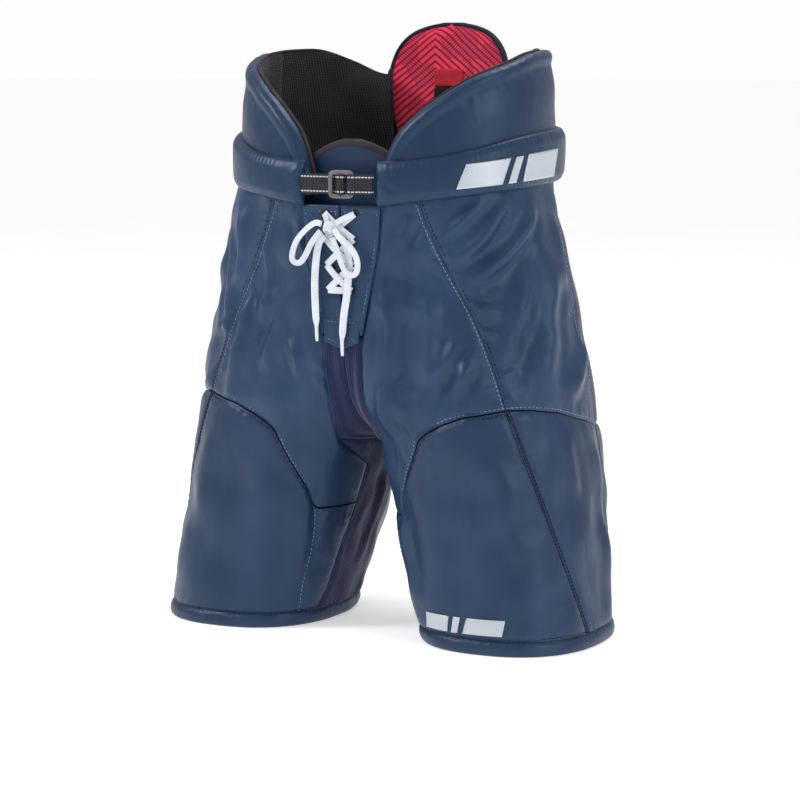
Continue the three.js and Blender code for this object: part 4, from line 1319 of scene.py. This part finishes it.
def make_guards():
    """The foam-faced guard inside the front and the outer side of each thigh."""
    long, tall, behind = 330, 183, 9.4  # its size, and how far its middle lies behind the body surface
    u, v = np.meshgrid(edge_steps(long, 9), edge_steps(tall, 9))
    angle, height = -118 + 130 * u, 22 + tall * v
    edge = np.minimum(np.minimum(u, 1 - u) * long, np.minimum(v, 1 - v) * tall)
    thick = 6.2 * rounded_rim(edge, 5)
    quilting = 0.7 * np.abs(np.sin(height / 30 * math.pi)) * smoothstep(edge, 2, 9)
    outer = body_point(angle, height, thick / 2 - behind)
    inner = body_point(angle, height, -thick / 2 - behind - quilting)
    for side, sign in SIDES.items():
        guard = slab(f"{side}_thigh_guard_foam", outer, inner, sign)
        finish_piece(guard, GUARD, "guard_plastic", smooth=1)
        bend(guard, side)
        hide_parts(f"{side}_thigh_guard")


def gusset_rows():
    """The gusset's inner and outer edges, from the front down under the crotch and up the back."""
    def front(x, height):
        return (float(angle_at(x, height)), height)

    def back(height):
        return (-360 - float(angle_at(CENTRE, height)), height)

    halves = [20, 20, 19.6, 19, 18.4, 18.2, 18.6, 19, 20]  # half its width, each 10 mm down from 295
    rows = [(front(CENTRE, 295 - 10 * k), front(x + 1.2, 295 - 10 * k)) for k, x in enumerate(halves)]
    return rows + [
        (front(CENTRE, 209), front(22.2, 203)),
        (front(CENTRE, 204), front(23.4, 191)),
        (front(CENTRE, 200), (-150, 188)),
        (front(CENTRE, 196.5), (-166, 186)),
        ((-180, 192.5), (-180, 185)),
        (back(196.5), (-197, 186)),
        (back(204), (-210, 191.5)),
        (back(206.5), (-220, 204.5)),
    ]


def make_gussets():
    """The two halves of the stretch gusset, gathered along the middle."""
    rows = np.array(gusset_rows(), float)
    share = np.linspace(0, 1, 14)
    steps = np.linspace(0, len(rows) - 1, 70)
    inner = np.stack([np.interp(steps, range(len(rows)), rows[:, 0, k]) for k in (0, 1)], -1)
    outer = np.stack([np.interp(steps, range(len(rows)), rows[:, 1, k]) for k in (0, 1)], -1)
    spots = inner[:, None] * (1 - share[None, :, None]) + outer[:, None] * share[None, :, None]
    angle, height = spots[..., 0], spots[..., 1]
    for side, sign in SIDES.items():
        edge = (1 - share)[None] * 20
        fold = 1.1 * np.sin(share[None] * math.tau * 1.5 + 0.5 * np.sin(height / 16) + sign)
        inside = smoothstep(np.minimum(edge, share[None] * 20), 0, 5)
        rise = -1.2 + 1.6 * smoothstep(edge, 0, 5) + fold * inside
        rise += 0.35 * np.sin(height / 3.1 + 2 * share[None]) * bell(edge - 3, 3)
        gusset = slab(f"{side}_crotch_gusset_knit", body_point(angle, height, rise),
                      body_point(angle, height, -3.0), sign)
        finish_piece(gusset, KNIT, "stretch_knit", smooth=1)
        bend(gusset, side)
        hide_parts(f"{side}_crotch_gusset")


make_hems()
make_guards()
make_gussets()

# ---------------------------------------------------------------- hip wings and belt

WING_START, WING_END = -79.5, 70
ROLL = 13  # width of the padded roll along a wing's edge


def wing_grid():
    """(angle, height) of a wing's grid, with each point's distance from its rolled edge."""
    u, v = np.meshgrid(edge_steps(330, GRID_PUFFED), edge_steps(95, GRID_PUFFED))
    angle = WING_START + (WING_END - WING_START) * u
    low = belt_bottom(angle) + SEAM_TOP + 1
    height = low + (wing_top(angle) - low) * v
    top = smooth_line([(a, float(wing_top(a))) for a in np.linspace(WING_START, WING_END, 60)], 160)
    rim = [body_point(top[:, 0], top[:, 1])]
    for end, foot in ((WING_START, 430), (WING_END, 450)):
        rim.append(body_point(end, np.linspace(foot, float(wing_top(end)), 20)))
    grid = body_point(angle, height)
    gap = np.min([np.linalg.norm(grid - point, axis=-1) for point in np.concatenate(rim)], axis=0)
    return angle, height, gap


def make_wings():
    """The padded wings over the hips, with a roll along the free edge and a mesh lining inside."""
    angle, height, gap = wing_grid()
    for side, sign in SIDES.items():
        flat = body_point(angle, height)
        roll = np.sqrt(np.clip(1 - ((gap - ROLL / 2) / (ROLL / 2 + 0.5)) ** 2, 0, 1))
        wobble = 1.6 * ripple(flat, 310 + sign, 60, 3)
        pucker = np.sin(angle * 0.9 + height * 0.28 + wobble) * bell(gap - ROLL - 3, 5)
        out = 1.6 * roll - 0.8 * bell(gap - ROLL - 0.6, 1.8) + 0.5 * pucker
        out += 2.2 * smoothstep(gap, ROLL, ROLL + 26) + 0.4 * ripple(flat, 320 + sign, 55)
        rim = rounded_rim(gap, 5.5, 0.0)
        full = np.maximum(rim, 0.06)
        outer = body_point(angle, height, -6.5 + (6.5 + out) * full)
        inner = body_point(angle, height, -6.5 - 5.8 * full)
        wing = slab(f"{side}_wing_padded", outer, inner, sign)
        finish_piece(wing, WING, "wing_nylon", "waist", smooth=1)
        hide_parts(f"{side}_wing_cover", f"{side}_wing_foam", f"{side}_hip_plate")

        seam = 1.6 * bell(angle - 6, 1.3) + 1.4 * bell(angle + 58, 1.3)
        sag = 0.6 * ripple(flat, 330 + sign, 45)
        face = body_point(angle, height, -14.2 + 2.2 * (1 - rounded_rim(gap, 7)) + (seam - sag) * rim)
        behind = body_point(angle, height, -12.1 + 1.4 * (1 - rounded_rim(gap, 6)))
        lining = slab(f"{side}_wing_mesh", behind, face, sign)
        finish_piece(lining, LINING, "mesh_lining", "waist", smooth=1)
        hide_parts(f"{side}_wing_lining")
        make_wing_piping(side, sign)


def wing_edge():
    """The line round a wing's free edge: up its front, along the top and down its back."""
    start_low = float(belt_bottom(WING_START)) + SEAM_TOP
    end_low = float(belt_bottom(WING_END)) + SEAM_TOP
    top = [(a, float(wing_top(a))) for a in np.linspace(WING_START, WING_END, 90)]
    return np.array([(WING_START, start_low), *top, (WING_END, end_low)])


def make_wing_piping(side, sign):
    """A thin cord of binding sewn between the wing's roll and its lining."""
    edge = wing_edge()
    line = smooth_line(body_point(edge[:, 0], edge[:, 1], -11.6), 260)
    piping = round_tube(f"{side}_wing_piping", line, 1.25, sign, squash=1.6)
    finish_piece(piping, BINDING, "mesh_lining", "waist")


def round_tube(name, line, radius, sign=1, squash=1.0, around=10):
    """A tube along a line, widened by squash along the surface's depth."""
    tangent = directions(line)
    depth = square_to(tangent, line * [1, 1, 0])
    turn = np.linspace(0, math.tau, around, endpoint=False)
    wide, deep = radius * np.cos(turn), radius * squash * np.sin(turn)
    return tube_mesh(name, rings_round(line, np.cross(tangent, depth), depth, wide, deep), sign)


BELT_START, BELT_END = -79, 89.99


def belt_out(angle):
    """How far the belt's inner face stands out, so that it passes outside the spine pad."""
    return 1.5 + 16.5 * smoothstep(angle, 45, 66)


def make_belts():
    """The padded belt: its edges are stitched 5 mm in, which gathers them into small scallops."""
    u, v = np.meshgrid(edge_steps(420, 2.6), edge_steps(46, 3.0))
    angle = BELT_START + (BELT_END - BELT_START) * u
    width = belt_top(angle) - belt_bottom(angle)
    height = belt_bottom(angle) + width * v
    edge = np.minimum(height - belt_bottom(angle), belt_top(angle) - height)
    flat = body_point(angle, height)
    around = lengths_along(flat, 1)
    groove = bell(edge - 5.2, 1.1)
    even = 8.6 * rounded_rim(edge, 9) * rounded_rim(around, 9, 0.3) + np.sin(v * math.pi) - 1.5 * groove
    even += 0.9 * bell(around, 14) * np.sin(height / 2.4 + 0.3 * around) * smoothstep(edge, 2, 6)
    for side, sign in SIDES.items():
        wobble = 1.2 * ripple(flat, 410 + sign, 60, 3)
        scallop = np.sin(around * math.tau / 5.4 + wobble)
        thick = even + 0.8 * scallop * bell(edge - 4.5, 4.5) + 0.5 * ripple(flat, 420 + sign, 70)
        outer = body_point(angle, height, belt_out(angle) + np.maximum(thick, 1.2))
        inner = body_point(angle, height, belt_out(angle) + 0 * height)
        belt = slab(f"{side}_belt_padded", outer, inner, sign)
        finish_piece(belt, WING, "wing_nylon", "waist", smooth=1)
        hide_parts(f"{side}_belt")


make_wings()
make_belts()

# ---------------------------------------------------------------- spine pad, belly pad and tailbone pad

# Half the width of each pad, as (height, width).
SPINE_WIDTHS = [
    (456, 52), (500, 62), (540, 66), (558, 63), (570, 57.5), (579, 50), (586, 40), (591, 26), (594, 10),
]
BELLY_WIDTHS = [(385, 44), (420, 58), (452, 58), (464, 45), (472, 33), (478, 19), (481, 8)]
TAILBONE_WIDTHS = [(300, 22), (320, 34), (360, 48), (400, 55), (436, 52)]
# How far each pad curves back or forward 60 mm from its middle.
SPINE_CURVE, BELLY_CURVE, TAILBONE_CURVE = -8, 6, -5


def pad_outline(widths):
    """The rim of an upright pad: from its foot up one side, over the top and down the other side."""
    half = smooth_line([(w, h) for h, w in widths], 70)
    return np.concatenate([half, (half * [-1, 1])[::-1]])


def pad_grid(widths):
    """(x, height) over a pad and each point's distance from its rim, foot excepted."""
    outline = pad_outline(widths)
    half = profile(widths)
    low, high = widths[0][0], widths[-1][0]
    u, v = np.meshgrid(edge_steps(120, 4.4) * 2 - 1, np.sin(np.linspace(0, 1, 34) * math.pi / 2) ** 1.15)
    height = low + (high - low) * v
    x = u * half(height)
    gap = np.min([np.hypot(x - rim_x, height - rim_height) for rim_x, rim_height in outline], axis=0)
    return x, height, gap


def upright(x, height, front, curve, depth):
    """Points of an upright, curved pad that stands at front, and a depth behind it."""
    return np.stack([x, front + curve * (x / 60) ** 2 + depth, height], -1)


def pad_binding(name, widths, front, curve, depth, wide, deep, material):
    """A folded binding round a pad's rim."""
    outline = pad_outline(widths)
    line = upright(outline[:, 0], outline[:, 1], front(outline[:, 1]), curve, depth)
    line = smooth_line(line, 180)
    tangent = directions(line)
    facing = square_to(tangent, np.array([0, 1.0, 0]))
    across = np.cross(tangent, facing)
    inward = -np.sign((across * (line - line.mean(0))).sum(1, keepdims=True))
    line = line + across * inward * wide * 0.28
    turn = np.linspace(0, math.tau, 14, endpoint=False)
    half_wide, half_deep = wide / 2 * blunt(np.cos(turn), 0.6), deep / 2 * blunt(np.sin(turn), 0.8)
    binding = tube_mesh(name, rings_round(line, across, facing, half_wide, half_deep))
    return finish_piece(binding, material, "mesh_lining")


def spine_front(height):
    """How far back the front of the spine pad stands."""
    return 117 + 5 * smoothstep(height, 490, 570)


def make_spine_pad():
    """The spine pad: a ribbed cover, a striped lining before it and a binding round its rim."""
    x, height, gap = pad_grid(SPINE_WIDTHS)
    rim = rounded_rim(gap, 6)

    def layer(depth):
        return upright(x, height, spine_front(height), SPINE_CURVE, depth)

    ribs = 0.8 * np.abs(np.sin((height - 456) / 24 * math.pi)) * smoothstep(gap, 8, 16)
    cover = slab("spine_pad_padded", layer(5.4 + 5.4 * rim + ribs), layer(5.4 - 3.6 * rim))
    finish_piece(cover, WING, "wing_nylon", "waist", smooth=1)
    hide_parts("spine_pad_cover", "spine_pad_foam")
    dimple = 0.8 * ripple(layer(0), 510, 48) * smoothstep(gap, 4, 14)
    lining = slab("spine_pad_striped", layer(-0.6 - 1.5 * smoothstep(gap, 2, 12) + dimple), layer(1.7))
    finish_piece(lining, RED, "striped_lining", "waist", smooth=1)
    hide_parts("spine_pad_lining")
    binding = pad_binding(
        "spine_pad_binding", SPINE_WIDTHS, spine_front, SPINE_CURVE, 3.2, 4.5, 9.5, NAVY_BINDING,
    )
    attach(binding, "waist")
    make_label()


def make_label():
    """A blank woven label: a red block over a black block."""
    blocks = (("label_upper", 530, 548, LABEL_RED), ("label_lower", 519, 529.6, LABEL_BLACK))
    for name, low, high, material in blocks:
        x, height = np.meshgrid(np.linspace(-17, 15, 22), np.linspace(low, high, 10))
        lift = -4.9 + 0.25 * np.sin(x / 3) * np.sin(height / 4)
        front = spine_front(height)
        face = upright(x, height, front, SPINE_CURVE, lift)
        label = slab(f"spine_pad_{name}", face, upright(x, height, front, SPINE_CURVE, -0.5))
        finish_piece(label, material, "label", "waist", smooth=1)
        if name == "label_upper":
            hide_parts("spine_pad_label")


def belly_front(height):
    """How far forward the front of the belly pad stands."""
    return -101 + 0 * height


def make_belly_pad():
    """The padded tongue behind the fly."""
    x, height, gap = pad_grid(BELLY_WIDTHS)
    rim = rounded_rim(gap, 5)

    def layer(depth):
        return upright(x, height, belly_front(height), BELLY_CURVE, depth)

    soft = 0.5 * ripple(layer(0), 520, 40)
    pad = slab("belly_pad_padded", layer(4.5 - (4.2 + soft) * rim), layer(4.5 + 4.4 * rim))
    finish_piece(pad, WING, "wing_nylon", "belly_pad", smooth=1)
    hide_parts("belly_pad_cover", "belly_pad_foam")
    binding = pad_binding(
        "belly_pad_binding", BELLY_WIDTHS, belly_front, BELLY_CURVE, 4.4, 8.5, 9.6, BINDING,
    )
    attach(binding, "belly_pad")


def make_tailbone_pad():
    """The grooved foam pad inside the seat."""
    x, height, gap = pad_grid(TAILBONE_WIDTHS)
    front = 104 + 0 * height
    rim = rounded_rim(gap, 5)
    grooves = 1.2 * bell(np.mod(height, 34) - 17, 2.5) * smoothstep(gap, 4, 9)
    face = upright(x, height, front, TAILBONE_CURVE, 4 - 3.8 * rim + grooves)
    pad = slab("tailbone_pad_foam", face, upright(x, height, front, TAILBONE_CURVE, 4 + 3.8 * rim))
    finish_piece(pad, GUARD, "foam", "waist", smooth=1)
    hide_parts("tailbone_pad")


make_spine_pad()
make_belly_pad()
make_tailbone_pad()

# ---------------------------------------------------------------- belt strap and buckle

STRAP_HEIGHT, STRAP_WIDTH, STRAP_THICK = 441, 19, 1.3
# Plans of the two straps, as points (x, y) from the belt to the buckle.
STRAP_LINES = {
    "right": [
        (-40, -125.6), (-30, -126.8), (-20, -127.4), (-8, -127.4), (-2.5, -127.6), (1, -129), (2.6, -131.4),
        (4.4, -132.9), (6.6, -133), (8.6, -132), (9.6, -129.8), (9, -127.4), (7, -126), (3, -125.3),
        (-10, -124.8), (-25, -124),
    ],
    "left": [
        (38, -125.5), (26, -126.8), (19, -127.3), (16, -127.3), (14.4, -128.6), (14, -130.4), (14.8, -132.4),
        (17, -133), (20, -132.6), (22.6, -130.8), (26, -129.2), (38, -128.2),
    ],
}


def make_straps():
    """The two lengths of webbing that meet in the buckle, thin along their edges."""
    share = np.linspace(-0.5, 0.5, 10)
    thick = STRAP_THICK / 2 * np.where(np.abs(share) > 0.475, 0.55, 1)[:, None, None]
    for side, plan in STRAP_LINES.items():
        line = smooth_line(plan, 90)
        tangent = directions(line)
        out = np.stack([-tangent[:, 1], tangent[:, 0], 0 * tangent[:, 0]], -1)
        rows = [np.insert(line, 2, STRAP_HEIGHT + part * STRAP_WIDTH, axis=1) for part in share]
        middle = np.stack(rows)
        piece = slab(f"{side}_strap_webbing", middle + out * thick, middle - out * thick)
        centre_uv(piece, STRAP_WIDTH * MM / 2)
        finish_piece(piece, WEBBING, "webbing")
        end = 36.5 if side == "left" else -36.5
        to_frame((end, 0, STRAP_HEIGHT))
        to_frame((end * 0.55, 0, STRAP_HEIGHT))
        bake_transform(piece)
        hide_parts(f"{side}_strap")


def centre_uv(obj, half):
    """Shifts a piece's texture coordinates so that its middle line is at zero."""
    layer = obj.data.uv_layers[0].data
    values = np.empty(len(layer) * 2, np.float32)
    layer.foreach_get("uv", values)
    values[1::2] -= half
    layer.foreach_set("uv", values)


def make_buckle():
    """The square buckle: a rounded frame with a bar down its middle."""
    centre = np.array([6.0, -130.0, STRAP_HEIGHT])
    size, bar, thick = 27, 4.4, 3.6
    reach = (size - bar) / 2
    across, depth, up = np.eye(3)
    around = np.linspace(0, math.tau, 14, endpoint=False)
    c, s = blunt(np.cos(around), 0.6), blunt(np.sin(around), 0.6)

    turn = np.linspace(0, math.tau, 72, endpoint=False)
    corner = 0.28  # how square the frame is
    line = centre + reach * (blunt(np.cos(turn), corner)[:, None] * across
                             + blunt(np.sin(turn), corner)[:, None] * up)
    tangent = unit(np.roll(line, -1, 0) - np.roll(line, 1, 0))
    sections = rings_round(line, np.cross(tangent, depth), depth, bar / 2 * c, thick / 2 * s)
    frame_piece = loop_mesh("buckle_frame", sections)
    finish_piece(frame_piece, BUCKLE, "buckle_plastic", "buckle")
    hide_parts("belt_buckle")

    bar_line = centre + np.linspace(-reach, reach, 20)[:, None] * up
    middle = tube_mesh("buckle_bar", rings_round(bar_line, across, depth, 1.5 * c, 1.3 * s))
    finish_piece(middle, BUCKLE, "buckle_plastic", "buckle")


make_straps()
make_buckle()

# ---------------------------------------------------------------- plackets, fly patch and eyelets

PLACKET_FOOT, PLACKET_TOP = 297, 421
placket_width = profile([(297, 21.8), (330, 28.8), (365, 35.8), (390, 39.8), (421, 41.8)])
TOP_STITCH, OUTER_STITCH = 6.5, 3.4  # how far the stitches lie from those edges of a placket


def make_plackets():
    """The two plackets of the fly, with grooves along their stitches and dents round the eyelets."""
    u, v = np.meshgrid(edge_steps(34, 2.6), edge_steps(124, 3.2))
    height = PLACKET_FOOT + (PLACKET_TOP - PLACKET_FOOT) * v
    inner_edge = CENTRE + 0.3
    x = inner_edge + (placket_width(height) - inner_edge) * u
    angle = angle_at(x, height)
    from_top, from_middle, from_outer = PLACKET_TOP - height, x - CENTRE, placket_width(height) - x
    edge = np.minimum.reduce([from_top, from_middle, from_outer])
    stitched = ((from_top - TOP_STITCH, x), (from_middle - 4, height), (from_outer - OUTER_STITCH, height))
    for side, sign in SIDES.items():
        out = 0.2 + 1.9 * rounded_rim(edge, 2.6, 0.2)
        for distance, position in stitched:
            out -= 0.8 * bell(distance, 0.9)
            out += 0.3 * np.sin(position * math.tau / 5.2 + 0.7 * sign) * bell(distance, 3)
        out += 0.6 * ripple(body_point(angle, height), 610 + sign, 34) * smoothstep(edge, 1, 8)
        for row_x, row_height in EYELET_ROWS:
            out -= 0.8 * bell(np.hypot(x - row_x, height - row_height), 5)
        cloth = body_point(angle, height, out)
        piece = slab(f"{side}_placket_cloth", cloth, body_point(angle, height, -2.2), sign)
        finish_piece(piece, BODY, "body_nylon", "waist", smooth=1)
        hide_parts(f"{side}_fly_placket")


def make_fly_patch():
    """The small patch sewn over the foot of the fly."""
    half, top = 19, 313
    u, v = np.meshgrid(edge_steps(38, 2.4) * 2 - 1, edge_steps(26, 2.4))
    x = u * half
    foot = 290 - 7 * (1 - np.abs(u))
    height = foot + (top - foot) * v
    edge = np.minimum.reduce([half - np.abs(x), height - foot, top - height])
    rise = 1.8 * rounded_rim(edge, 1.8, 0.2) - 0.7 * bell(edge - 3.6, 0.8)
    rise += 0.3 * np.sin((x + height) * 1.25) * bell(edge - 3.4, 2.4)
    face, back = (np.stack([x, -118.9 + depth, height], -1) for depth in (-rise, 0.8 + 0 * x))
    patch = slab("fly_patch_cloth", face, back)
    finish_piece(patch, BODY, "body_nylon", "waist", smooth=1)
    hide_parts("fly_patch")


# Sections of an eyelet's ring and of the dark dish in its opening, a painted shadow that stands in for the
# shade inside the eyelet: (radius, distance forward of the cloth).
RING_SECTION = [
    (4.7, 0.0), (4.4, 0.6), (3.6, 1.0), (2.9, 0.9), (2.5, 0.4), (2.4, -0.6), (3.2, -0.7), (4.2, -0.3),
]
DISH_SECTION = [
    (0.05, -0.2), (1.2, -0.15), (2.2, 0.1), (2.6, 0.1), (2.6, -0.9), (1.2, -0.9), (0.05, -0.9),
]


def turned(section, x, front, height):
    """A section turned round an axis that points forward at x and a height."""
    turn = np.linspace(0, math.tau, 36, endpoint=False)
    circles = []
    for radius, forward in section:
        circles.append(np.stack([x + radius * np.cos(turn), front - forward + 0 * turn,
                                 height + radius * np.sin(turn)], -1))
    return np.stack(circles, 1)


def make_eyelets():
    """The eyelets of the fly."""
    for row, (x, height) in enumerate(EYELET_ROWS, 1):
        front = float(body_point(angle_at(x, height), height, 1.4)[1])
        for side, sign in SIDES.items():
            name = f"{side}_eyelet_{row}"
            ring = loop_mesh(f"{name}_ring", turned(RING_SECTION, x, front, height), sign)
            finish_piece(ring, EYELET, "eyelet_metal", "waist", smooth=1)
            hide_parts(name)
            # painted shadow: a near-black dish sits inside each eyelet where only shade falls
            shadow_dish = loop_mesh(f"{name}_hole", turned(DISH_SECTION, x, front, height), sign)
            finish_piece(shadow_dish, EYELET_SHADOW, None, "waist")


make_plackets()
make_fly_patch()
make_eyelets()

# ---------------------------------------------------------------- stitches and silver marks


def surface_frames(line):
    """Points, directions and outward normals along an (angle, height, out) line on the body."""
    points = body_point(line[:, 0], line[:, 1], line[:, 2])
    around = body_point(line[:, 0] + 0.5, line[:, 1], line[:, 2]) - points
    above = body_point(line[:, 0], line[:, 1] + 1, line[:, 2]) - points
    return points, directions(points), unit(np.cross(around, above))


def dash(centre, ahead, normal, length, width, lift):
    """One stitch: a small boat of thread that dips into the cloth at both ends."""
    across = np.cross(normal, ahead)
    points = []
    for share, tall, wide in ((-1, -0.5, 0.5), (-0.45, 0.8, 1), (0.45, 0.8, 1), (1, -0.5, 0.5)):
        base = centre + ahead * (share * length / 2)
        side = across * (wide * width / 2)
        points += [base - side, base + normal * (lift * tall), base + side, base - normal * 0.7]
    faces = [(0, 3, 2, 1), (12, 13, 14, 15), *grid_faces(4, 4, closed=True)]
    return np.array(points), faces


def stitch_row(line, out_at, pitch=4.2, length=2.9, width=0.85):
    """Stitches along an (angle, height) line, at the depth that out_at gives."""
    fine = smooth_line(line, 400)
    rough = body_point(fine[:, 0], fine[:, 1])
    along = np.concatenate([[0], np.cumsum(np.linalg.norm(np.diff(rough, axis=0), axis=1))])
    count = max(2, int(along[-1] / pitch))
    at = (np.arange(count) + 0.5) * along[-1] / count
    spots = np.stack([np.interp(at, along, fine[:, 0]), np.interp(at, along, fine[:, 1])], -1)
    line3 = np.column_stack([spots, out_at(spots[:, 0], spots[:, 1])])
    points, ahead, normal = surface_frames(line3)
    return [dash(p, a, n, length, width, 0.55) for p, a, n in zip(points, ahead, normal)]


def cloth_out(side, *names):
    """How far out the finished cloth of some panels stands at an angle and height."""
    chosen = [PANELS[side, name] for name in names]
    spots = np.concatenate([np.stack([p.angle * 2, p.height], -1).reshape(-1, 2) for p in chosen])
    depths = np.concatenate([((panel_surface(p) - p.flat) * p.normal).sum(-1).ravel() for p in chosen])

    def out(angle, height):
        where = np.stack([angle * 2, height], -1)
        gap = np.linalg.norm(where[:, None] - spots[None], axis=-1)
        order = np.argsort(gap, axis=1)[:, :4]
        weight = 1 / (np.take_along_axis(gap, order, 1) + 0.3)
        return (depths[order] * weight).sum(1) / weight.sum(1) + 0.4

    return out


HEAVY = (3.6, 3.0, 1.1)  # pitch, length and width of the thicker stitches

# Rows of stitches: (the line they follow, the panel they lie on, other sizes where not the usual).
LIGHT_ROWS = [
    (beside(SIDE_SEAM, -1.3), "front_panel"),
    (beside(THIGH_SEAM[1:], 0, 3), "front_panel"),
    (beside(OUTER_THIGH_SEAM, 0, 3), "side_panel"),
    (THIGH_INNER_SEAM, "thigh_panel"),
    (beside(SEAT_BOTTOM[:-1], 0, 3), "seat_panel"),
    (beside(STRIP_SEAM[1:], -1.3), "side_panel"),
    (beside(STRIP_SEAM[1:], STRIP_WIDTH + 1.3), "seat_panel"),
]
DARK_ROWS = [
    (beside(SIDE_SEAM, 1.3), "side_panel"),
    (beside(THIGH_SEAM[1:], 0, -3), "thigh_panel"),
    (beside(LOWER_SIDE_SEAM, -1.2), "thigh_panel", *HEAVY),
    (beside(LOWER_SIDE_SEAM, 1.2), "outer_leg_panel", *HEAVY),
    ([(-157 + k * 14.6, 16.6) for k in range(11)], "thigh_panel"),
    ([(32 + k * 12, 16.6) for k in range(11)], "back_leg_panel"),
]
HEM_ROW = [(-180 + k * 10, 13.0) for k in range(37)]


def steady(out):
    """A depth function for stitch_row that is the same everywhere."""
    return lambda angle, height: out + 0 * angle


def make_stitches():
    """Rows of stitches beside the seams: light on the upper seams, dark on the lower ones and the hem."""
    for side, sign in SIDES.items():
        rows = {"light": [], "dark": []}
        for name, table in (("light", LIGHT_ROWS), ("dark", DARK_ROWS)):
            for line, panel, *sizes in table:
                rows[name] += stitch_row(line, cloth_out(side, panel), *sizes)
        rows["hem"] = stitch_row(HEM_ROW, steady(0.35), 5.2, 3.2, 0.9)
        for name, solids in rows.items():
            piece = joined_mesh(f"{side}_{name}_stitches", solids, sign)
            finish_piece(piece, LIGHT_THREAD if name == "light" else DARK_THREAD)
            bend(piece, side)


def patch_stitches():
    """Stitches along the top and the pointed foot of the fly patch."""
    corners = [np.array([x, -120.15, height]) for x, height in ((-15.4, 293.2), (0, 287.6), (15.4, 293.2))]
    top = [np.array([x, -120.15, 309.6]) for x in (-15.4, 15.4)]
    for start, end in (top, corners[:2], corners[1:]):
        length = np.linalg.norm(end - start)
        count = int(length / 3.7)
        for k in range(count):
            centre = start + (k + 0.5) / count * (end - start)
            yield dash(centre, (end - start) / length, np.array([0, -1.0, 0]), 2.6, 0.8, 0.6)


def make_fly_stitches():
    """The stitches of the plackets and of the patch at the foot of the fly."""
    level = PLACKET_TOP - TOP_STITCH
    lines = [
        [(x, level) for x in np.linspace(3, 37, 12)],
        [(4.6, h) for h in np.linspace(302, 414, 12)],
        [(placket_width(h) - OUTER_STITCH, h) for h in np.linspace(318, 414, 12)],
    ]
    for side, sign in SIDES.items():
        solids = []
        for line in lines:
            solids += stitch_row(front_edge(line), steady(1.45), 3.9, 2.7, 0.8)
        finish_piece(joined_mesh(f"{side}_placket_stitches", solids, sign), LIGHT_THREAD, None, "waist")
    finish_piece(joined_mesh("fly_patch_stitches", patch_stitches()), LIGHT_THREAD, None, "waist")


def silver_patch(name, side, corners, out_at, body):
    """A flat silver shape on the body between four (angle, height) corners, low left first, going round."""
    c = np.array(corners, float)
    u, v = np.linspace(0, 1, 22)[None, :, None], np.linspace(0, 1, 14)[:, None, None]
    spots = (1 - v) * ((1 - u) * c[0] + u * c[1]) + v * (u * c[2] + (1 - u) * c[3])
    angle, height = spots[..., 0], spots[..., 1]
    out = out_at(angle.ravel(), height.ravel()).reshape(angle.shape)
    out = np.maximum(out, np.median(out)) + 0.3
    face, back = (body_point(angle, height, out + lift) for lift in (0.35, -1.2))
    patch = slab(name, face, back, SIDES[side])
    finish_piece(patch, SILVER)
    if body is None:
        bend(patch, side)
    else:
        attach(patch, body)


def belt_face(angle, height):
    """How far out the finished face of a belt stands, away from its stitched edges."""
    low, high = belt_bottom(angle), belt_top(angle)
    share = np.clip((height - low) / (high - low), 0, 1)
    return belt_out(angle) + 8.85 + np.sin(share * math.pi)


# The corners of the marks on the belt, as (angle, height).
BELT_MARKS = {
    "left": [
        ((-50, 437.5), (-30, 441.5), (-26, 466), (-46, 461)),
        ((-27, 442), (-23, 442.8), (-19, 467.8), (-23, 466.8)),
        ((-19, 443.5), (1, 446.5), (4, 473), (-16, 469)),
    ],
    "right": [((-10, 445), (8, 447), (10, 474), (-8, 472))],
}


def make_marks():
    """Plain silver shapes where the printed marks are: slanting blocks with a gap, no lettering."""
    for side, shapes in BELT_MARKS.items():
        for number, corners in enumerate(shapes, 1):
            silver_patch(f"{side}_belt_mark_{number}", side, corners, belt_face, "waist")
    thigh = cloth_out("left", "thigh_panel")
    for number, (start, end) in enumerate(((-121, -103), (-100, -96.5), (-93.5, -74)), 1):
        corners = ((start, 20), (end, 20), (end + 3, 35), (start + 3, 35))
        silver_patch(f"left_hem_mark_{number}", "left", corners, thigh, None)


def make_centre_tapes():
    """The tape that covers the middle seam on the inside, at the back and at the front below the fly."""
    for name, low, high, facing in (("back", 209, 440, 1), ("front", 212, 300, -1)):
        x, height = np.meshgrid(np.linspace(-7, 7, 9), np.linspace(low, high, 60))
        surface = body_point(angle_at(0.5, height, facing > 0), height)[..., 1]
        y = surface - facing * (6.9 + 0.25 * np.cos(x / 3))
        outer, inner = (np.stack([x, y + facing * depth, height], -1) for depth in (1.6, 0))
        tape = slab(f"centre_tape_{name}", outer, inner)
        finish_piece(tape, NAVY_BINDING, "mesh_lining", "waist")


make_centre_tapes()
make_stitches()
make_fly_stitches()
make_marks()
